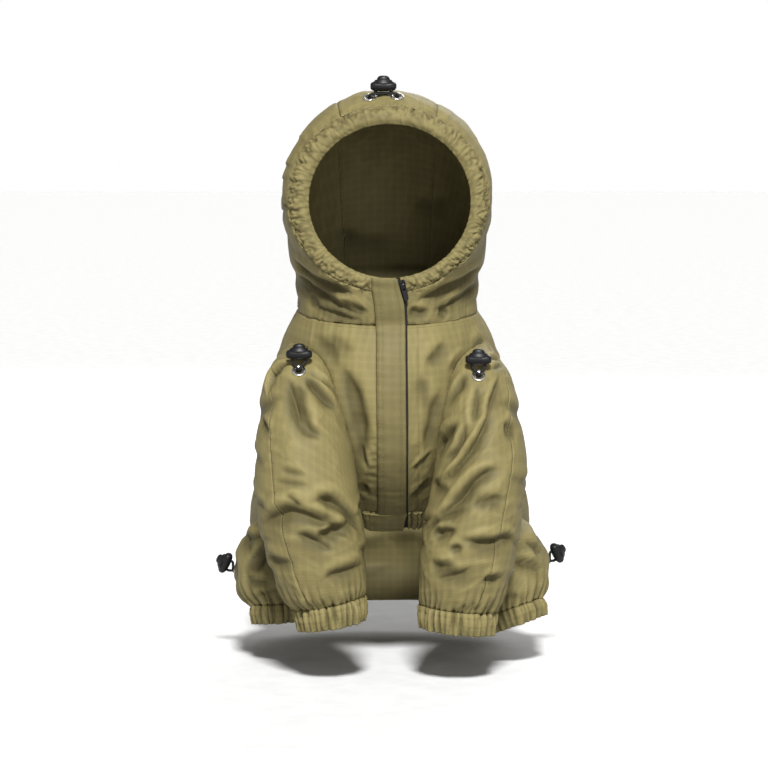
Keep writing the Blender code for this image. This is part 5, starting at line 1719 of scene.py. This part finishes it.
def plunger_profile(radius):
    base, low = LOCK_HEIGHT / 2, LOCK_HEIGHT / 2 - PLUNGER_SUNK
    dome = ((0.0, 3.8), (0.3, 3.76), (0.54, 3.5), (0.72, 3.0), (0.85, 2.2), (0.94, 1.2), (1.0, 0.0))
    return [(radius * wide, base + rise) for wide, rise in dome] + [(radius, low), (0.0, low)]


def collar_profile():
    """The bar's shoulders, which rise to the button."""
    top = LOCK_HEIGHT / 2
    slope = ((5.5, 0.8), (5.8, 0.7), (6.1, 0.3), (6.6, -0.3), (7.3, -0.9), (7.6, -2.2))
    return [(0, top + 0.8)] + [(wide, top + rise) for wide, rise in slope] + [(0, top - 2.2)]


def helper_cutter(name, points, faces, pose):
    """A Boolean's cutter: it is only part of the cut."""
    mesh = made_solid(name, points, faces)
    mesh.transform(pose)
    thing = bpy.data.objects.new(name, mesh)
    bpy.context.scene.collection.objects.link(thing)
    return thing


def carve(mesh, name, cutters, added=0):
    """Applies cutters to a mesh, of which the first few are added to it, and removes them."""
    source = bpy.data.objects.new(name, mesh)
    bpy.context.scene.collection.objects.link(source)
    for index, cutter in enumerate(cutters):
        cut = source.modifiers.new("cut", "BOOLEAN")
        cut.operation = "UNION" if index < added else "DIFFERENCE"
        cut.object = cutter
        cut.solver = "EXACT"
    bpy.context.view_layer.update()
    graph = bpy.context.evaluated_depsgraph_get()
    result = bpy.data.meshes.new_from_object(source.evaluated_get(graph))
    for thing in (source, *cutters):
        bpy.data.objects.remove(thing)
    result.polygons.foreach_set("use_smooth", np.ones(len(result.polygons), bool))
    result.materials.clear()
    return result


def softened(thing, width, segments=2, angle=35):
    bevel = thing.modifiers.new("rounding", "BEVEL")
    bevel.width = width * MM
    bevel.segments = segments
    bevel.limit_method = "ANGLE"
    bevel.angle_limit = math.radians(angle)
    bevel.harden_normals = True
    return thing


def build_lock(name):
    pose = LOCK_POSES[name]
    bar = made_solid("bar", *revolved(bar_profile(), 40, LOCK_DEPTH / LOCK_HEIGHT, "X"))
    bar.transform(pose)
    radius = PLUNGER_LENGTH / 2
    pocket_radius = radius + 0.45
    squash = (PLUNGER_DEPTH / 2 + 0.45) / pocket_radius
    top = LOCK_HEIGHT / 2
    floor = top - PLUNGER_SUNK - 2.4 - CLEARANCE
    pocket = helper_cutter("pocket", *revolved(
        [(0, top + 3), (pocket_radius, top + 3), (pocket_radius, floor), (0, floor)], 48, squash
    ), pose)
    collar = helper_cutter("collar", *revolved(collar_profile(), 48, 0.62), pose)
    cutters = [collar, pocket]
    for end in (-1, 1):
        hole = helper_cutter("hole", *revolved([(0, SOCKET_DEPTH), (1.6, SOCKET_DEPTH), (1.6, -3), (0, -3)], 24), (
            pose @ Matrix.Translation(Vector((end * SOCKET_X, 0, -LOCK_HEIGHT / 2)) * MM)
        ))
        cutters.append(hole)
    body = add_piece(f"lock_{name}_body_moulding", carve(bar, "bar", cutters, 1), "plastic")
    softened(body, 0.22, 2, 50)
    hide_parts(f"lock_{name}_body")
    dome = made_solid("plunger", *revolved(plunger_profile(radius), 48, PLUNGER_DEPTH / PLUNGER_LENGTH))
    dome.transform(pose)
    plunger = add_piece(
        f"lock_{name}_plunger_moulding", dome, "plastic", f"lock_{name}_plunger"
    )
    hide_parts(f"lock_{name}_plunger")


def build_eyelet(name):
    middle, half = (EYELET_OUTER + EYELET_INNER) / 2, (EYELET_OUTER - EYELET_INNER) / 2
    ring = [
        (middle + half * math.copysign(abs(math.cos(a)) ** 0.8, math.cos(a)),
         EYELET_HEIGHT / 2 * (1 + math.copysign(abs(math.sin(a)) ** 0.8, math.sin(a))))
        for a in np.linspace(math.pi / 2, -3 * math.pi / 2, 25)
    ]
    points, faces = revolved(ring, 48)
    barrel, more = revolved([(3.0, 0.75), (2.75, 0.35), (2.7, -0.3), (2.95, -0.3), (3.2, 0.3)], 48)
    mesh = joined(name, [(points, faces), (barrel, more)], EYELET_POSES[name])
    made = add_piece(f"eyelet_{name}_ring", mesh, "nickel")
    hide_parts(f"eyelet_{name}")


def smooth_route(route, count):
    route = np.array([list(point) for point in route])
    levels = np.linspace(0, len(route) - 1, count)
    return np.stack([blend_rows(route[:, k], levels) for k in range(3)], axis=-1)


def build_cord(name, route):
    """Braided elastic cord: a tube whose skin is worked into crossing strands."""
    line = smooth_route(route, 24 * (len(route) - 1)) / MM
    steps = 16
    way = np.gradient(line, axis=0)
    way /= np.linalg.norm(way, axis=-1, keepdims=True)
    side = np.cross(way[0], [0.2, 0.5, 0.8])
    along = np.concatenate([[0], np.cumsum(np.linalg.norm(np.diff(line, axis=0), axis=-1))])
    turn = np.arange(steps) / steps * math.tau
    grid = []
    for spot, ahead, run in zip(line, way, along):
        side = side - side.dot(ahead) * ahead
        side /= np.linalg.norm(side)
        up = np.cross(ahead, side)
        strand = np.abs(np.sin(4 * turn + run * 2.2)) * np.abs(np.sin(4 * turn - run * 2.2))
        radius = CORD_RADIUS * (0.93 + 0.09 * strand)
        grid.append(spot + radius[:, None] * (np.cos(turn)[:, None] * side + np.sin(turn)[:, None] * up))
    grid = np.array(grid)
    rows = len(grid)
    faces = [
        (r * steps + c, r * steps + (c + 1) % steps, (r + 1) * steps + (c + 1) % steps, (r + 1) * steps + c)
        for r in range(rows - 1) for c in range(steps)
    ]
    points = grid.reshape(-1, 3)
    ends = np.array([line[0] - 0.35 * way[0], line[-1] + 0.35 * way[-1]])
    cap = np.concatenate([ends[0] + 0.3 * (grid[0] - line[0]), ends[1] + 0.3 * (grid[-1] - line[-1])])
    base = len(points)
    for c in range(steps):
        after = (c + 1) % steps
        faces.append((base + c, base + after, after, c))
        last = (rows - 1) * steps
        faces.append((last + c, last + after, base + steps + after, base + steps + c))
    mesh = mesh_of(name, np.concatenate([points, cap]) * MM, faces)
    made = add_piece(name + "_braid", mesh, "cord")
    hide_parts(name)


def seat_of(name):
    ring = EYELET_POSES[name]
    x, y, z = (Vector(ring.col[k][:3]) for k in range(3))
    made = Matrix((x, -z, y)).transposed().to_4x4()
    made.translation = ring.translation - z * 0.65 * MM
    return made


for name in LOCKS:
    build_lock(name)
for name in EYELETS:
    build_eyelet(name)
foot = -LOCK_HEIGHT / 2 + SOCKET_DEPTH - CLEARANCE
for name in ("shoulder_right", "shoulder_left", "hip_right", "hip_left"):
    lock, seat = LOCK_POSES[name], seat_of(name)
    legs = []
    for end in (-1, 1):
        top = lock @ (Vector((end * SOCKET_X, 0, foot)) * MM)
        below = lock @ (Vector((end * SOCKET_X * LEG_IN, 0, foot - LEG_STRAIGHT)) * MM)
        near = math.copysign(1, (seat.inverted() @ below).x)
        legs.append((top, below, seat @ (Vector((near * TURN_X, -TURN_OUT, TURN_UP)) * MM)))
    bottom = seat @ (Vector((0, -LOOP_OUT, 0)) * MM)
    build_cord(f"cord_{name}", [*legs[0], bottom, *reversed(legs[1])])
for end, side in ((-1, "right"), (1, "left")):
    lock, seat = LOCK_POSES["crown"], seat_of(f"crown_{side}")
    top = lock @ (Vector((end * SOCKET_X, 0, foot)) * MM)
    below = lock @ (Vector((end * (SOCKET_X + CROWN_LEG_SPREAD), 0, foot - CROWN_LEG_STRAIGHT)) * MM)
    turn = seat @ (Vector((-end * TURN_X, -TURN_OUT, 0)) * MM)
    build_cord(f"cord_crown_{side}", [top, below, turn, seat @ (Vector((0, -CLEARANCE, 0)) * MM)])


# Slider and pull

SLIDER_WIDTH, SLIDER_LENGTH, SLIDER_PLATE = 3.6, 8.0, 1.2
BRIDGE_WIDTH, BRIDGE_LOW, BRIDGE_TOP, BRIDGE_RISE, BRIDGE_BAR = 1.1, 1.2, 6.8, 2.8, 0.9
PULL_AXIS_Z, PULL_AXIS_OUT, PULL_BAR = 5.0, 0.95, 1.1
PULL_WIDTH, PULL_WINDOW, PULL_WINDOW_LENGTH, PULL_LENGTH, PULL_THICKNESS = 3.6, 1.9, 4.3, 12.0, 1.0
SLIDER_HEIGHT, SLIDER_SEAT = 273.5, 0.66
SLIDER_X_LOW, SLIDER_X_TOP = 10.2, 8.8


def box_mesh(name, size, middle):
    mesh = bpy.data.meshes.new(name)
    shape = bmesh.new()
    bmesh.ops.create_cube(shape, size=1.0)
    bmesh.ops.scale(shape, vec=Vector(size) * MM, verts=shape.verts)
    bmesh.ops.translate(shape, vec=Vector(middle) * MM, verts=shape.verts)
    shape.to_mesh(mesh)
    shape.free()
    return mesh


def outline_mesh(name, outline, thickness, middle_y):
    """A plate with this (x, z) outline."""
    shape = bmesh.new()
    front = [shape.verts.new((x * MM, (middle_y - thickness / 2) * MM, z * MM)) for x, z in outline]
    face = shape.faces.new(front)
    made = bmesh.ops.extrude_face_region(shape, geom=[face])
    moved = [item for item in made["geom"] if isinstance(item, bmesh.types.BMVert)]
    bmesh.ops.translate(shape, vec=(0, thickness * MM, 0), verts=moved)
    bmesh.ops.recalc_face_normals(shape, faces=shape.faces)
    mesh = bpy.data.meshes.new(name)
    shape.to_mesh(mesh)
    shape.free()
    return mesh


def joined_meshes(name, meshes):
    shape = bmesh.new()
    for mesh in meshes:
        shape.from_mesh(mesh)
    made = bpy.data.meshes.new(name)
    shape.to_mesh(made)
    shape.free()
    return made


def build_slider():
    tube = TUBES["casing"]
    levels = np.linspace(0, 3.0, 31)
    heights = tube.at(0.0, levels)[:, 2]
    lower, upper = (np.interp(SLIDER_HEIGHT + h, heights, levels) for h in (1.0, 7.0))
    ends = [
        Vector(frame_point(tube.at(tube.turn_at_x(x, np.array(level)), np.array(level))))
        for x, level in ((SLIDER_X_LOW, lower), (SLIDER_X_TOP, upper))
    ]
    up = (ends[1] - ends[0]).normalized()
    out = Vector((1, 0, 0)).cross(up).normalized()
    if out.y > 0:
        out = -out
    across = up.cross(out)
    pose = Matrix((across, -out, up)).transposed().to_4x4()
    pose.translation = ends[0] + out * (0.75 + SLIDER_SEAT) * MM
    w, n = SLIDER_WIDTH / 2, SLIDER_LENGTH
    outline = [
        (-w * 0.72, 0), (w * 0.72, 0), (w, n * 0.42), (w, n * 0.9),
        (w * 0.55, n), (-w * 0.55, n), (-w, n * 0.9), (-w, n * 0.42),
    ]
    plate = outline_mesh("plate", outline, SLIDER_PLATE, -SLIDER_PLATE / 2)
    face = -SLIDER_PLATE
    rails = [
        box_mesh("rail", (0.5, 0.5, 5.4), (end * (w - 0.32), face, n * 0.56)) for end in (-1, 1)
    ]
    hoop = []
    for angle in np.linspace(0, math.pi, 17):
        z = (BRIDGE_LOW + BRIDGE_TOP) / 2 + (BRIDGE_TOP - BRIDGE_LOW - BRIDGE_BAR) / 2 * math.cos(angle)
        y = face + 0.3 - (BRIDGE_RISE - BRIDGE_BAR / 2 + 0.3) * math.sin(angle) ** 0.55
        hoop.append((z, y))
    bridge_points, bridge_faces = [], []
    for index, (z, y) in enumerate(hoop):
        before, after = hoop[max(index - 1, 0)], hoop[min(index + 1, len(hoop) - 1)]
        ahead = np.array([0.0, after[1] - before[1], after[0] - before[0]])
        ahead /= np.linalg.norm(ahead)
        side, up_way = np.array([1.0, 0, 0]), np.cross(ahead, [1.0, 0, 0])
        for k in range(12):
            a = math.tau * (k + 0.5) / 12
            round_off = 1 / max(abs(math.cos(a)), abs(math.sin(a))) ** 0.55
            bridge_points.append(np.array([0, y, z]) + round_off * (
                BRIDGE_WIDTH / 2 * math.cos(a) * side + BRIDGE_BAR / 2 * math.sin(a) * up_way) * 0.94)
    for r in range(len(hoop) - 1):
        for c in range(12):
            bridge_faces.append((r * 12 + c, r * 12 + (c + 1) % 12, (r + 1) * 12 + (c + 1) % 12, (r + 1) * 12 + c))
    bridge = made_solid("bridge", bridge_points, bridge_faces)
    mesh = joined_meshes("slider", [plate, *rails, bridge])
    mesh.transform(pose)
    made = add_piece("zip_slider_body", mesh, "zip_metal")
    softened(made, 0.14, 2, 40)
    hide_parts("zip_slider")
    axis = pose @ Matrix.Translation(Vector((0, face - PULL_AXIS_OUT, PULL_AXIS_Z)) * MM)
    w, n, t = PULL_WIDTH / 2, PULL_LENGTH, PULL_THICKNESS
    outline = [
        (-w, 0), (-w, -n * 0.55), (-w * 0.86, -n * 0.9), (-w * 0.5, -n),
        (w * 0.5, -n), (w * 0.86, -n * 0.9), (w, -n * 0.55), (w, 0),
    ]
    pull = outline_mesh("pull", outline, t, 0.0)
    pull.transform(axis)
    opening = bpy.data.objects.new("window", box_mesh(
        "window", (PULL_WINDOW, 3.0, PULL_WINDOW_LENGTH - PULL_BAR / 2),
        (0, 0, -(PULL_WINDOW_LENGTH + PULL_BAR / 2) / 2)))
    opening.data.transform(axis)
    bpy.context.scene.collection.objects.link(opening)
    slot = bpy.data.objects.new("groove", box_mesh("groove", (PULL_WINDOW * 0.8, 0.7, 4.2), (0, -t / 2, -8.2)))
    slot.data.transform(axis)
    bpy.context.scene.collection.objects.link(slot)
    plate = carve(pull, "pull", [opening, slot])
    bar = made_solid("bar", *revolved([(0, -w), (PULL_BAR / 2, -w), (PULL_BAR / 2, w), (0, w)], 20, 1.0, "X"))
    bar.transform(axis)
    made = add_piece("zip_pull_tag", joined_meshes("pull", [plate, bar]), "zip_metal", "zip_pull")
    softened(made, 0.16, 2, 40)
    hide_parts("zip_pull")


build_slider()

# Stitches and the cut of each sheet

SHEETS = {
    # held, the cut's width and length (mm), its area (cm2)
    "back": ("draped", 506, 298, 1000),
    "front_right": ("draped", 134, 158, 118),
    "front_left": ("draped", 110, 158, 88),
    "belly_band_right": ("gathered", 112, 20, 19.5),
    "belly_band_left": ("gathered", 78, 20, 13),
    "hood_right": ("draped", 220, 230, 220),
    "hood_left": ("draped", 198, 230, 212),
    "hood_center": ("draped", 76, 244, 178),
    "hood_casing": ("gathered", 590, 19, 88),
    "sleeve_right_front": ("draped", 164, 226, 174),
    "sleeve_right_outer": ("draped", 138, 224, 175),
    "sleeve_left_front": ("draped", 154, 226, 176),
    "sleeve_left_outer": ("draped", 132, 224, 173),
    "sleeve_cuff_right": ("gathered", 209, 18, 36.5),
    "sleeve_cuff_left": ("gathered", 217, 17, 36.5),
    "hind_leg_right": ("draped", 252, 116, 164),
    "hind_leg_left": ("draped", 250, 112, 170),
    "hind_cuff_right": ("gathered", 202, 15, 29.5),
    "hind_cuff_left": ("gathered", 207, 14, 28.5),
    "storm_flap": ("draped", 22, 188, 41),
    "belly_tab": ("draped", 29, 20, 5.7),
}

for name, (held, width, length, area) in SHEETS.items():
    made = add_stitches(name, RUNS[name])

floor = bpy.data.objects.new("floor", mesh_of(
    "floor", [(-30, -30, 0), (30, -30, 0), (30, 30, 0), (-30, 30, 0)], [(0, 1, 2, 3)]
))
bpy.context.scene.collection.objects.link(floor)
floor.location.z = -NECK_HEIGHT * MM
floor.data.materials.append(speckled("pale_floor", (0.43, 0.43, 0.427), 0.8, 40.0, 0.02, 0.0002))
